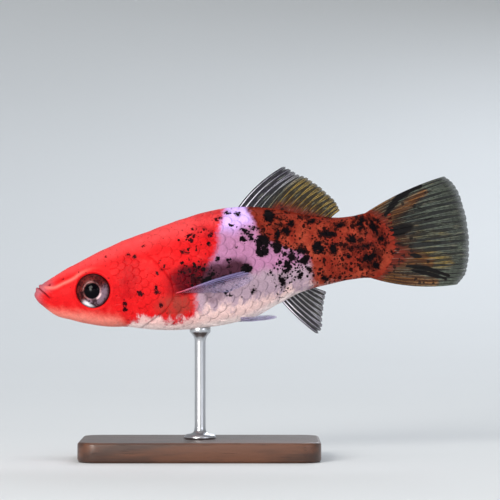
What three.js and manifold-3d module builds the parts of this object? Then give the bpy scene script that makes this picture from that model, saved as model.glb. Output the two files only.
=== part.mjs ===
// A female swordtail at life size, as a still display model on a plain stand.
//
// Millimetres, +Z up. The fish faces -X with its left side towards -Y, and swims nose down.
// The origin is the middle of the stand's underside.
//
// The fish is made in its own axes first: s runs from the tip of the lower lip towards the
// tail, y is to its right, and z is up. A slight bend to its right and the nose-down pose
// come last.

import * as THREE from "three";
import { mergeVertices } from "three/addons/utils/BufferGeometryUtils.js";
import Module from "manifold-3d";

const wasm = await Module();
wasm.setup();

// Driving dimensions
const noseDown = THREE.MathUtils.degToRad(8.9); // pitch of the body's axis
const tailLength = 88; // tip of the lower lip to the end of the tail fin
const sway = 3.2; // how far the end of the tail is bent to the fish's right
const swayStart = 34;
const gap = 0.3; // between neighbouring solids
const membrane = 0.25; // half the thickness of a fin between its rays
const farAside = 15; // a distance from the middle plane that clears the body

// Lengthwise stations of the body: its top and bottom outline, its half width and the height
// of its widest place, and how square its upper and lower halves are (2 is an ellipse).
const stations = [
  { s: 0, top: 0.35, bottom: -1.3, half: 1.55, widest: -0.45, crown: 2.2, keel: 2.1 }, // lips
  { s: 1.45, top: 1.38, bottom: -2.95, half: 2.25, widest: -0.6, crown: 2.3, keel: 2.1 },
  { s: 3.5, top: 2.33, bottom: -5.0, half: 3.0, widest: -0.7, crown: 2.4, keel: 2.1 }, // snout
  { s: 6.5, top: 3.6, bottom: -6.4, half: 3.85, widest: -0.9, crown: 2.5, keel: 2.1 },
  { s: 12, top: 5.62, bottom: -8.5, half: 4.75, widest: -1.2, crown: 2.6, keel: 2.1 }, // eyes
  { s: 17.5, top: 7.28, bottom: -9.6, half: 5.55, widest: -1.6, crown: 2.3, keel: 2.15 },
  { s: 24, top: 8.72, bottom: -11.27, half: 6.3, widest: -2.2, crown: 2.1, keel: 2.2 }, // gills
  { s: 31, top: 10.1, bottom: -12.1, half: 6.7, widest: -2.8, crown: 2.0, keel: 2.3 }, // belly
  { s: 38, top: 10.98, bottom: -12.1, half: 6.55, widest: -2.8, crown: 1.95, keel: 2.3 },
  { s: 43, top: 10.85, bottom: -11.55, half: 5.85, widest: -2.2, crown: 1.95, keel: 2.2 },
  { s: 48, top: 9.95, bottom: -9.75, half: 4.85, widest: -1.2, crown: 2.0, keel: 2.1 },
  { s: 53, top: 8.42, bottom: -8.1, half: 3.85, widest: -0.7, crown: 2.0, keel: 2.0 }, // vent
  { s: 58, top: 6.62, bottom: -7.5, half: 3.1, widest: -0.7, crown: 2.1, keel: 2.1 },
  { s: 63.5, top: 5.58, bottom: -7.18, half: 2.5, widest: -0.8, crown: 2.2, keel: 2.2 }, // stalk
  { s: 68, top: 5.62, bottom: -7.5, half: 1.75, widest: -0.9, crown: 2.3, keel: 2.3 },
  { s: 73, top: 5.9, bottom: -7.9, half: 0.9, widest: -1.0, crown: 2.4, keel: 2.4 },
];
const tipHeight = -0.45; // of the foremost point of the lower lip
const noseRound = 0.7; // length over which the blunt end of the snout rounds off
const fleshEnd = 73;
const headEnd = 28.5; // just behind the gill covers, where the rings may stand further apart
const coverRelief = { height: 0.35, width: 3.4 }; // how the gill covers' rear edges stand out

// Landmarks in side view, as [s, z]
const eyeCentre = [11.95, -1.27];
const mouthLine = [[0.2, 2.0], [1.15, 0.95], [2.4, -0.5], [3.3, -1.7]];
const jawSeam = [[5.0, -3.6], [7.4, -5.9], [9.0, -9.6]]; // from the mouth's corner to the throat
const upperLip = { front: 1.55, corner: [2.75, -0.3], radius: 0.42 };
const lowerLip = { front: 0.72, corner: [2.15, -0.95], radius: 0.5 };
const gillEdge = [
  [19.2, 10.5], [20.6, 7.2], [25.3, 2.4], [27.8, -2.6], [26.6, -6.6], [22.0, -9.3], [15.5, -12.5],
];
const coverFront = [[23.2, 4.2], [20.0, 3.2], [17.5, 0.2], [17.4, -4.2], [19.4, -8.0], [23.6, -9.0]];
const stalkSeam = [[62.2, 9.0], [61.0, 5.0], [58.2, -1.0], [56.6, -5.5], [56.2, -10.0]];
const nostrils = [[3.2, 1.0], [6.3, 1.95]];

// Curves

// A smooth function of one variable through points [[x, value], ...].
function fair(points) {
  const slope = (i) => {
    const [a, b, c] = [points[i - 1], points[i], points[i + 1]];
    const rise = (p, q) => (q[1] - p[1]) / (q[0] - p[0]);
    if (!a) return rise(b, c);
    if (!c) return rise(a, b);
    return (rise(a, b) * (c[0] - b[0]) + rise(b, c) * (b[0] - a[0])) / (c[0] - a[0]);
  };
  const slopes = points.map((_, i) => slope(i));
  return (x) => {
    let i = points.findIndex((p) => p[0] >= x) - 1;
    if (i === -2) i = points.length - 2;
    i = Math.max(0, i);
    const [p, q] = [points[i], points[i + 1]];
    const span = q[0] - p[0];
    const t = THREE.MathUtils.clamp((x - p[0]) / span, 0, 1);
    const [t2, t3] = [t * t, t * t * t];
    return (
      p[1] * (2 * t3 - 3 * t2 + 1) + q[1] * (3 * t2 - 2 * t3) +
      span * (slopes[i] * (t3 - 2 * t2 + t) + slopes[i + 1] * (t3 - t2))
    );
  };
}

const spline = (points) => new THREE.SplineCurve(points.map(([x, y]) => new THREE.Vector2(x, y)));
const smooth = (x, low, high) => THREE.MathUtils.smoothstep(x, low, high);
const bell = (x, width) => Math.exp(-((x / width) ** 2));
const lerp = THREE.MathUtils.lerp;

// The shortest way from a point in side view to a curve given as points along it.
function distanceTo(curvePoints, s, z) {
  let least = Infinity;
  for (let i = 0; i + 1 < curvePoints.length; i++) {
    const [a, b] = [curvePoints[i], curvePoints[i + 1]];
    const [dx, dz] = [b.x - a.x, b.y - a.y];
    const along = THREE.MathUtils.clamp(
      ((s - a.x) * dx + (z - a.y) * dz) / (dx * dx + dz * dz), 0, 1);
    least = Math.min(least, Math.hypot(s - a.x - along * dx, z - a.y - along * dz));
  }
  return least;
}

// The body's surface

const outline = Object.fromEntries(
  ["top", "bottom", "half", "widest", "crown", "keel"].map((key) => [
    key,
    fair(stations.map((station) => [station.s, station[key]])),
  ]),
);

function section(s) {
  const inward = Math.min(s / noseRound, 1);
  const round = Math.sqrt(1 - (1 - inward) ** 2);
  return {
    top: lerp(tipHeight, outline.top(s), round),
    bottom: lerp(tipHeight, outline.bottom(s), round),
    half: outline.half(s) * round,
    widest: lerp(tipHeight, outline.widest(s), round),
    crown: outline.crown(s),
    keel: outline.keel(s),
  };
}

// The point at an angle round the body: 0 is its right side, a quarter turn its back.
function plainPoint(s, angle) {
  const c = section(s);
  const [cos, sin] = [Math.cos(angle), Math.sin(angle)];
  const power = 2 / (sin >= 0 ? c.crown : c.keel);
  const reach = sin >= 0 ? c.top - c.widest : c.widest - c.bottom;
  return new THREE.Vector3(
    s,
    c.half * Math.sign(cos) * Math.abs(cos) ** power,
    c.widest + reach * Math.sign(sin) * Math.abs(sin) ** power,
  );
}

// How far out the side of the body is at a height.
function sideAt(s, z) {
  const c = section(s);
  const above = z > c.widest;
  const reach = above ? c.top - c.widest : c.widest - c.bottom;
  const share = Math.min(Math.abs(z - c.widest) / reach, 1);
  const power = above ? c.crown : c.keel;
  return c.half * (1 - share ** power) ** (1 / power);
}

const gillPoints = spline(gillEdge).getPoints(32);

// How far the skin stands out from the plain body, towards the rear edges of the gill covers.
function relief({ x: s, y, z }) {
  if (s >= headEnd) return 0;
  const beside = Math.min(1, Math.abs(y) / 2) * smooth(s, 17, 20) * (1 - smooth(z, 2.5, 5));
  return coverRelief.height * bell(distanceTo(gillPoints, s, z), coverRelief.width) * beside;
}

function outward(s, angle) {
  const step = 1e-3;
  const forward = Math.max(s, 0.02);
  const alongS = plainPoint(forward + step, angle).sub(plainPoint(forward - step, angle));
  const round = plainPoint(forward, angle + step).sub(plainPoint(forward, angle - step));
  return round.cross(alongS).normalize();
}

// The body as a closed mesh, grown outwards by a distance.
function bodyGeometry({ grow = 0, headStep = 1.15, step = 2.5, around = 36, raised = false }) {
  const rings = [];
  for (let s = 0.03; s < fleshEnd - 0.4 * step; ) {
    rings.push(s);
    s += Math.min(s < headEnd ? headStep : step, 0.08 + 0.3 * s); // closest at the lips
  }
  rings.push(fleshEnd);
  const points = [new THREE.Vector3(-grow, 0, tipHeight)];
  for (const s of rings) {
    for (let k = 0; k < around; k++) {
      const angle = (2 * Math.PI * (k + 0.5)) / around;
      const point = plainPoint(s, angle);
      const out = grow + (raised ? relief(point) : 0);
      points.push(point.addScaledVector(outward(s, angle), out));
    }
  }
  points.push(new THREE.Vector3(fleshEnd + grow, 0, section(fleshEnd).widest));
  const faces = [];
  const at = (ring, k) => 1 + ring * around + (k % around);
  const last = points.length - 1;
  for (let k = 0; k < around; k++) {
    faces.push(0, at(0, k + 1), at(0, k));
    faces.push(last, at(rings.length - 1, k), at(rings.length - 1, k + 1));
    for (let ring = 0; ring + 1 < rings.length; ring++) {
      faces.push(at(ring, k), at(ring, k + 1), at(ring + 1, k + 1));
      faces.push(at(ring, k), at(ring + 1, k + 1), at(ring + 1, k));
    }
  }
  return indexed(points, faces);
}

// Solids

function indexed(points, faces) {
  const geometry = new THREE.BufferGeometry().setFromPoints(points);
  geometry.setIndex(faces);
  return geometry;
}

function solid(geometry) {
  const bare = geometry.clone();
  for (const name of Object.keys(bare.attributes)) {
    if (name !== "position") bare.deleteAttribute(name);
  }
  const merged = mergeVertices(bare, 1e-4);
  return new wasm.Manifold(
    new wasm.Mesh({
      numProp: 3,
      vertProperties: new Float32Array(merged.attributes.position.array),
      triVerts: new Uint32Array(merged.index.array),
    }),
  );
}

function geometryOf(manifold) {
  const mesh = manifold.getMesh();
  const positions = new Float32Array(mesh.numVert * 3);
  for (let i = 0; i < mesh.numVert; i++) {
    positions.set(mesh.vertProperties.subarray(i * mesh.numProp, i * mesh.numProp + 3), i * 3);
  }
  return new THREE.BufferGeometry()
    .setAttribute("position", new THREE.BufferAttribute(positions, 3))
    .setIndex(new THREE.BufferAttribute(mesh.triVerts, 1));
}

const largest = (manifold) =>
  manifold.decompose().reduce((best, piece) => (piece.volume() > best.volume() ? piece : best));

// A round strand through points, closed at both ends. Its radius varies along it.
function roll(through, radiusAt, sides = 7, count = 14) {
  const curve = new THREE.CatmullRomCurve3(through);
  const { normals, binormals } = curve.computeFrenetFrames(count);
  const points = [curve.getPointAt(0), curve.getPointAt(1)];
  const faces = [];
  const at = (ring, k) => 2 + ring * sides + (k % sides);
  for (let ring = 0; ring <= count; ring++) {
    const middle = curve.getPointAt(ring / count);
    for (let k = 0; k < sides; k++) {
      const angle = (2 * Math.PI * k) / sides;
      const radius = radiusAt(ring / count);
      points.push(middle.clone()
        .addScaledVector(normals[ring], radius * Math.cos(angle))
        .addScaledVector(binormals[ring], radius * Math.sin(angle)));
      if (ring < count) {
        faces.push(at(ring, k), at(ring, k + 1), at(ring + 1, k + 1));
        faces.push(at(ring, k), at(ring + 1, k + 1), at(ring + 1, k));
      }
    }
  }
  for (let k = 0; k < sides; k++) {
    faces.push(0, at(0, k + 1), at(0, k));
    faces.push(1, at(count, k), at(count, k + 1));
  }
  return indexed(points, faces);
}

// A shape drawn in side view, as a prism from y0 to y1.
function sidePrism(points, y0, y1) {
  const shape = new THREE.Shape(points);
  const geometry = new THREE.ExtrudeGeometry(shape, { depth: y1 - y0, bevelEnabled: false });
  geometry.rotateX(Math.PI / 2).translate(0, y1, 0); // the drawing's y becomes z
  return solid(geometry);
}

// A thin cut along a curve in side view, right through the fish.
function seam(curvePoints) {
  const curve = spline(curvePoints);
  const count = 4 * curvePoints.length;
  const sides = [[], []];
  for (let i = 0; i <= count; i++) {
    const point = curve.getPoint(i / count);
    const normal = curve.getTangent(i / count).rotateAround(new THREE.Vector2(), Math.PI / 2);
    sides[0].push(point.clone().addScaledVector(normal, gap / 2));
    sides[1].push(point.clone().addScaledVector(normal, -gap / 2));
  }
  return sidePrism([...sides[0], ...sides[1].reverse()], -farAside, farAside);
}

// Flesh: one body, parted with thin cuts into jaw, head, trunk and tail stalk

const caudalArc = (z) => 71.8 - 0.085 * (z + 1) ** 2; // where the flesh ends and the fin begins

// Everything behind that arc, as a block that clears the body on all its other sides.
function behindArc(shift) {
  const [low, high, rear] = [-12, 10, fleshEnd + 7];
  const points = [];
  for (let z = low; z <= high; z += 0.5) {
    points.push(new THREE.Vector2(caudalArc(z) + shift, z));
  }
  points.push(new THREE.Vector2(rear, high), new THREE.Vector2(rear, low));
  return sidePrism(points, -farAside, farAside);
}

// A roll of flesh along one edge of the mouth, from corner to corner round the snout.
function lip({ front, corner, radius }) {
  const start = [front, outline.top(front)];
  const halfway = [(start[0] + corner[0]) / 2, (start[1] + corner[1]) / 2 + 0.1];
  const line = spline([start, halfway, corner]);
  const points = [];
  const steps = 8; // from the middle of the snout to one corner
  for (let k = -steps; k <= steps; k++) {
    const turn = (k / steps) * (Math.PI / 2);
    const { x, y } = line.getPoint(1 - Math.cos(turn));
    points.push(new THREE.Vector3(x, Math.sign(k) * sideAt(x, y), y));
  }
  return solid(roll(points, (t) => radius * (1 - 0.55 * Math.abs(2 * t - 1) ** 3)));
}

const crumb = 1; // volume of the largest sliver that the cuts may leave over
const grown = solid(bodyGeometry({ grow: gap, headStep: 1.8, around: 32, raised: true }));
const grownFlesh = grown.subtract(behindArc(gap));
const whole = solid(bodyGeometry({ raised: true })).add(lip(upperLip)).add(lip(lowerLip));
const pieces = whole
  .subtract(behindArc(0))
  .subtract(seam([...mouthLine, ...jawSeam]))
  .subtract(seam(gillEdge))
  .subtract(seam(stalkSeam))
  .decompose()
  .filter((piece) => piece.volume() > crumb)
  .sort((a, b) => a.boundingBox().min[0] - b.boundingBox().min[0]);
const [jaw, headBlock, trunk, tailStalk] = pieces;

// Gill covers: plates let into the sides of the head
const plateDepth = 0.75;
const coverMiddle = new THREE.Vector2(22.5, -3);
const coverHeights = [-8.4, 3.4]; // the stretch of the gill slit that a cover reaches

// The plate's outline, spread outwards from its middle. It runs on past the gill slit.
const coverOutline = (spread) => {
  const front = spline(coverFront).getPoints(14);
  const rear = gillPoints
    .filter((p) => p.y > coverHeights[0] && p.y < coverHeights[1])
    .map((p) => new THREE.Vector2(p.x + 0.4, p.y));
  const loop = [...front.reverse(), ...rear];
  return loop.map((p) => p.clone().add(p.clone().sub(coverMiddle).setLength(spread)));
};
const sunk = (depth) => solid(bodyGeometry({ grow: -depth, headStep: 2.2, step: 4, around: 28 }));
const [underPlate, recess] = [sunk(plateDepth), sunk(plateDepth + gap)];
const covers = {};
let head = headBlock;
for (const [side, y0, y1] of [["left", -farAside, -1], ["right", 1, farAside]]) {
  covers[side] = largest(
    headBlock.intersect(sidePrism(coverOutline(0), y0, y1)).subtract(underPlate));
  head = head.subtract(sidePrism(coverOutline(gap), y0, y1).subtract(recess));
}

// Eyes: low domes, turned a little forwards with the side of the head. Profiles are [radius,
// distance outwards from the ball's middle plane].
const eyeTurn = THREE.MathUtils.degToRad(8);
const eyeOut = 3.75; // how far the ball's middle plane is from the middle of the head
const eyeRadius = 3.45;
const pupilRadius = 1.42;
const iris = pupilRadius + gap / 2;
const eyeProfile = [
  [0, -1.6], [2.2, -1.3], [3.1, -0.7], [eyeRadius, -0.1], [eyeRadius, 0.45], [3.15, 0.86],
  [2.6, 1.18], [iris + 0.35, 1.42], [iris, 1.45], [iris, 0.55], [0, 0.55],
];
const pupilProfile = [
  [0, 0.55 + gap], [iris - gap, 0.55 + gap], [iris - gap, 1.42], [0.9, 1.62], [0, 1.72],
];
const socketProfile = [
  [0, -1.6 - gap], [2.3, -1.6], [3.3, -0.95], [eyeRadius + gap, -0.2], [eyeRadius + gap, 3], [0, 3],
];

function turned(profile, sides, sign) {
  const lathe = new THREE.LatheGeometry(profile.map(([x, y]) => new THREE.Vector2(x, y)), sides);
  lathe.rotateZ(sign > 0 ? eyeTurn : Math.PI - eyeTurn);
  return solid(lathe.translate(eyeCentre[0], sign * eyeOut, eyeCentre[1]));
}

const eyes = {};
const pupils = {};
for (const [side, sign] of [["left", -1], ["right", 1]]) {
  eyes[side] = turned(eyeProfile, 28, sign);
  pupils[side] = turned(pupilProfile, 24, sign);
  head = head.subtract(turned(socketProfile, 32, sign));
}

const pitRadius = 0.42;
for (const [s, z] of nostrils) {
  for (const sign of [-1, 1]) {
    const pit = new THREE.SphereGeometry(pitRadius, 8, 6).scale(1.25, 1, 0.8);
    head = head.subtract(solid(pit.translate(s, sign * (sideAt(s, z) + 0.1), z)));
  }
}
head = largest(head);

// Fins

// One closed sheet from root to margin. Each ray is a ridge on both faces, which forks part of
// the way out. path(out, across) gives a place on the middle surface as a Vector3, and facing
// the direction of the fin's thickness there.
function finGeometry({ rays, rows, path, facing, fork = 0.5, stout = 0.45 }) {
  const columns = [];
  for (let ray = 0; ray < rays; ray++) {
    columns.push({ ray, shift: 0, ridge: false });
    columns.push({ ray, shift: -1, ridge: true });
    columns.push({ ray, shift: 0, middle: true });
    columns.push({ ray, shift: 1, ridge: true });
  }
  columns.push({ ray: rays, shift: 0, ridge: false });
  const across = columns.length;
  const faces = [[], []];
  for (let row = 0; row <= rows; row++) {
    const out = row / rows;
    const spread = lerp(0.14, 0.25, smooth(out, fork - 0.25, 1));
    for (const column of columns) {
      const onRay = column.ridge || column.middle;
      const v = (column.ray + (onRay ? 0.5 : 0) + column.shift * spread) / rays;
      const reach = onRay ? out : out * 0.985;
      const raised = column.ridge || (column.middle && out < fork);
      const taper = lerp(1, 0.62, out);
      const tip = row === rows ? 0.55 : 1;
      const thick = (raised ? stout * taper : membrane) * tip;
      const middle = path(reach, v);
      const normal = facing(reach, v);
      faces[0].push(middle.clone().addScaledVector(normal, thick));
      faces[1].push(middle.clone().addScaledVector(normal, -thick));
    }
  }
  const points = [...faces[0], ...faces[1]];
  const under = faces[0].length;
  const at = (row, k) => row * across + k;
  const triangles = [];
  const quad = (a, b, c, d) => triangles.push(a, b, c, a, c, d);
  for (let row = 0; row < rows; row++) {
    for (let k = 0; k + 1 < across; k++) {
      const [a, b, c, d] = [at(row, k), at(row, k + 1), at(row + 1, k + 1), at(row + 1, k)];
      quad(a, b, c, d);
      triangles.push(under + a, under + c, under + b, under + a, under + d, under + c);
    }
    const [near, far] = [across - 1, 0];
    quad(at(row, near), under + at(row, near), under + at(row + 1, near), at(row + 1, near));
    quad(under + at(row, far), at(row, far), at(row + 1, far), under + at(row + 1, far));
  }
  for (let k = 0; k + 1 < across; k++) {
    quad(under + at(0, k), under + at(0, k + 1), at(0, k + 1), at(0, k));
    quad(at(rows, k), at(rows, k + 1), under + at(rows, k + 1), under + at(rows, k));
  }
  const geometry = indexed(points, triangles);
  return solid(geometry).volume() > 0 ? geometry : indexed(points, triangles.reverse());
}

// A fin in the fish's middle plane, whose rays run from a root curve to a margin curve in
// side view and bow a share of their length towards the first ray.
function medianFin({ root, margin, bow, wave, ...rest }) {
  const [rootCurve, marginCurve] = [spline(root), spline(margin)];
  const bowAt = fair(bow);
  const path = (out, across) => {
    const [a, b] = [rootCurve.getPoint(across), marginCurve.getPoint(across)];
    const chord = b.clone().sub(a);
    const aside = new THREE.Vector2(-chord.y, chord.x).multiplyScalar(bowAt(across));
    const place = a.addScaledVector(chord, out).addScaledVector(aside, 4 * out * (1 - out));
    return new THREE.Vector3(place.x, wave(out, across), place.y);
  };
  return finGeometry({ path, facing: () => new THREE.Vector3(0, 1, 0), ...rest });
}

const backLine = (s, sink) => [s, outline.top(s) - sink];
const bellyLine = (s, sink) => [s, outline.bottom(s) + sink];

const dorsalFin = medianFin({
  rays: 12,
  rows: 5,
  root: [backLine(42.3, 1.6), backLine(48.5, 1.6), backLine(54.5, 1.4), backLine(60.0, 1.2)],
  margin: [[53.4, 17.5], [55.7, 15.6], [58.0, 14.1], [60.4, 11.6], [62.4, 8.9], [63.0, 6.9]],
  bow: [[0, 0.115], [0.5, 0.07], [1, 0.04]],
  wave: (out, across) => 0.9 * out * out * Math.sin(3.2 * across + 0.4),
});

const analFin = medianFin({
  rays: 8,
  rows: 5,
  root: [bellyLine(48.0, 1.6), bellyLine(51.0, 1.5), bellyLine(54.0, 1.3)],
  margin: [[54.8, -17.0], [55.9, -15.6], [56.4, -13.2], [57.1, -10.7], [57.8, -8.7]],
  bow: [[0, -0.035], [1, -0.01]],
  wave: (out, across) => -0.6 * out * out * Math.sin(2.6 * across + 0.5),
});

const tailFin = medianFin({
  rays: 14,
  rows: 7,
  root: [[66.6, 5.0], [69.4, 3.6], [70.8, -1.0], [69.0, -5.6], [65.8, -6.8]],
  margin: [
    [84.9, 10.5], [86.9, 8.0], [tailLength - 0.1, 3.2], [tailLength, -1.6], [87.3, -6.2],
    [86.0, -9.6], [84.0, -11.4],
  ],
  bow: [[0, 0.095], [0.12, 0.05], [0.5, 0.0], [0.88, -0.03], [1, -0.07]],
  wave: (out, across) => 0.8 * out * out * Math.sin(5.2 * across - 0.6),
});

// A paired fin: a fan on a narrow root, spread out along an axis. chord is the direction from
// its leading to its trailing edge, width its breadth as a function of the way out, and rake
// how far its trailing edge falls short of the leading one.
function pairedFin({ base, axis, chord, length, width, rake, cup, sign, ...rest }) {
  const along = new THREE.Vector3(axis[0], sign * axis[1], axis[2]).normalize();
  const over = new THREE.Vector3(chord[0], sign * chord[1], chord[2]);
  over.addScaledVector(along, -over.dot(along)).normalize();
  const normal = along.clone().cross(over);
  const start = new THREE.Vector3(base[0], sign * base[1], base[2]);
  const widthAt = fair(width);
  const path = (out, across) => {
    const end = length * (1 - rake * across ** 2 - 0.16 * (2 * across - 0.75) ** 2);
    return start.clone()
      .addScaledVector(along, end * out)
      .addScaledVector(over, (across - 0.3) * widthAt(out))
      .addScaledVector(normal, sign * cup * out * Math.sin(Math.PI * across));
  };
  return finGeometry({ path, facing: () => normal, stout: 0.4, ...rest });
}

const pectoral = (sign, splay) => pairedFin({
  rays: 10,
  rows: 5,
  base: [27.6, sideAt(28.2, -4.6) - 1.1, -4.6],
  axis: [Math.cos(splay), Math.sin(splay), 0.14],
  chord: [0.1, -0.9, -0.42],
  length: 19.2,
  width: [[0, 1.9], [0.25, 3.6], [0.6, 6.6], [1, 7.4]],
  rake: 0.3,
  cup: 0.6,
  sign,
});

const pelvic = (sign) => pairedFin({
  rays: 6,
  rows: 4,
  base: [35.6, 1.7, -10.9],
  axis: [1, 0.14, -0.1],
  chord: [0.05, -0.75, -0.3],
  length: 12.2,
  width: [[0, 1.3], [0.4, 2.1], [1, 2.9]],
  rake: 0.25,
  cup: 0.2,
  fork: 0.7,
  sign,
});

const rooted = (geometry) => largest(solid(geometry).subtract(grownFlesh));

const fishSolids = {
  head,
  lower_jaw: jaw,
  gill_cover_left: covers.left,
  gill_cover_right: covers.right,
  trunk,
  tail_stalk: tailStalk,
  eye_left: eyes.left,
  eye_right: eyes.right,
  pupil_left: pupils.left,
  pupil_right: pupils.right,
  dorsal_fin: rooted(dorsalFin),
  anal_fin: rooted(analFin),
  tail_fin: rooted(tailFin),
  pectoral_fin_left: rooted(pectoral(-1, THREE.MathUtils.degToRad(28))),
  pectoral_fin_right: rooted(pectoral(1, THREE.MathUtils.degToRad(32))),
  pelvic_fin_left: rooted(pelvic(-1)),
  pelvic_fin_right: rooted(pelvic(1)),
};

// Stand: a flat board and one rod with a foot and a small saddle under the belly
const board = { length: 48, width: 28, thick: 4, corner: 4, bevel: 0.6 };
const rod = { radius: 1.1, foot: 3.2, footThick: 0.9, saddle: 2.1, saddleThick: 2.0 };
const bellyHeight = 26; // of the belly over the rod, above the floor
const rodAt = 31.7; // place along the fish

function boardGeometry() {
  const { length, width, thick, corner, bevel } = board;
  const [x, y, r] = [length / 2 - bevel, width / 2 - bevel, corner - bevel];
  const shape = new THREE.Shape();
  shape.moveTo(-x + r, -y).lineTo(x - r, -y).absarc(x - r, -y + r, r, -Math.PI / 2, 0);
  shape.lineTo(x, y - r).absarc(x - r, y - r, r, 0, Math.PI / 2);
  shape.lineTo(-x + r, y).absarc(-x + r, y - r, r, Math.PI / 2, Math.PI);
  shape.lineTo(-x, -y + r).absarc(-x + r, -y + r, r, Math.PI, 1.5 * Math.PI);
  const geometry = new THREE.ExtrudeGeometry(shape, {
    depth: thick - 2 * bevel,
    bevelSize: bevel,
    bevelThickness: bevel,
    bevelSegments: 1,
    curveSegments: 4,
  });
  return geometry.translate(0, 0, bevel);
}

function rodGeometry() {
  const low = board.thick + gap;
  const high = bellyHeight + 2;
  const { radius, foot, footThick, saddle, saddleThick } = rod;
  const profile = [
    [0, low], [foot, low], [foot, low + 0.5 * footThick], [foot - 0.4, low + footThick],
    [radius + 0.5, low + footThick + 0.2], [radius, low + footThick + 0.8],
    [radius, bellyHeight - saddleThick - 0.4], [saddle - 0.3, bellyHeight - 0.9],
    [saddle, bellyHeight - 0.5], [saddle, high], [0, high],
  ];
  const lathe = new THREE.LatheGeometry(profile.map(([x, y]) => new THREE.Vector2(x, y)), 20);
  return lathe.rotateX(Math.PI / 2);
}

// Assembly

const material = (color, roughness, metalness = 0) =>
  new THREE.MeshStandardMaterial({ color, roughness, metalness });
const finishes = {
  red: material(0xe23a2c, 0.42),
  pale: material(0xcfa4b0, 0.42),
  rust: material(0xa3442a, 0.45),
  iris: material(0x8d8478, 0.25, 0.4),
  pupil: material(0x0b0810, 0.12),
  clearFin: material(0x8d8f7c, 0.5),
  paleFin: material(0xc2a6b8, 0.5),
  board: material(0x3a241a, 0.5),
  steel: material(0xb8bcc0, 0.3, 1),
};
const finishOf = (name) => {
  if (/^(head|lower_jaw|gill_cover)/.test(name)) return finishes.red;
  if (name === "trunk") return finishes.pale;
  if (name === "tail_stalk") return finishes.rust;
  if (name.startsWith("eye")) return finishes.iris;
  if (name.startsWith("pupil")) return finishes.pupil;
  return /^(pectoral|pelvic)/.test(name) ? finishes.paleFin : finishes.clearFin;
};

// Bends the finished fish to its right, more and more towards the tail.
function bend(geometry) {
  const place = geometry.attributes.position;
  for (let i = 0; i < place.count; i++) {
    const past = Math.max(0, place.getX(i) - swayStart) / (tailLength - swayStart);
    place.setY(i, place.getY(i) + sway * past * past);
  }
  return geometry;
}

function named(name, geometry, finish) {
  const mesh = new THREE.Mesh(geometry, finish);
  mesh.name = name;
  return mesh;
}

const fish = new THREE.Group();
for (const [name, manifold] of Object.entries(fishSolids)) {
  fish.add(named(name, bend(geometryOf(manifold)), finishOf(name)));
}
const bellyPoint = new THREE.Vector3(rodAt, 0, outline.bottom(rodAt));
fish.rotation.y = -noseDown;
bellyPoint.applyEuler(fish.rotation);
fish.position.set(-bellyPoint.x, 0, bellyHeight - bellyPoint.z);
fish.updateMatrix();

const grownInPlace = grown.transform(fish.matrix.elements);
const model = new THREE.Group();
model.add(fish);
model.add(named("stand_base", boardGeometry(), finishes.board));
model.add(named(
  "stand_rod", geometryOf(largest(solid(rodGeometry()).subtract(grownInPlace))), finishes.steel));

export default model;
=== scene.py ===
# A female swordtail on a plain display stand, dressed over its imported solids.
import math

import bmesh
import bpy
import numpy as np
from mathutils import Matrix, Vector


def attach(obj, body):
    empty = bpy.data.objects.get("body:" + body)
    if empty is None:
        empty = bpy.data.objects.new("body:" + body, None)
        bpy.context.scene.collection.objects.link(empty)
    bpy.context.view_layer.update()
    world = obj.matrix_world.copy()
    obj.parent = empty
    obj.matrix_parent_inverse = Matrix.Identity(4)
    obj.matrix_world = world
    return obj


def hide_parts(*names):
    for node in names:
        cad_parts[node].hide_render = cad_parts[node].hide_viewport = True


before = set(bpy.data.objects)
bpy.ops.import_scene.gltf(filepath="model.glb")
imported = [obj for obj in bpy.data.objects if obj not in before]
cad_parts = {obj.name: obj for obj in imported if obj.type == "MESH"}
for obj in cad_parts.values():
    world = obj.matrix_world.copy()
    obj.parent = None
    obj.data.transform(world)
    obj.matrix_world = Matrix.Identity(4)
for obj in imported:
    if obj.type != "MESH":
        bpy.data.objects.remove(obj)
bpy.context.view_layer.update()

mm = 0.001


# Pose. The fish's own axes are s along it from its lips, y to its right and z up, in mm.
pose = {
    "noseDown": 8.9,  # degrees
    "length": 88.0,  # lips to the end of the tail fin
    "sway": 3.2,  # how far the tail's end is bent to the fish's right
    "swayStart": 34.0,
    "rodAt": 31.7,  # where the rod meets the belly
    "bellyHeight": 26.0,  # of the belly there, above the floor
}

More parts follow.
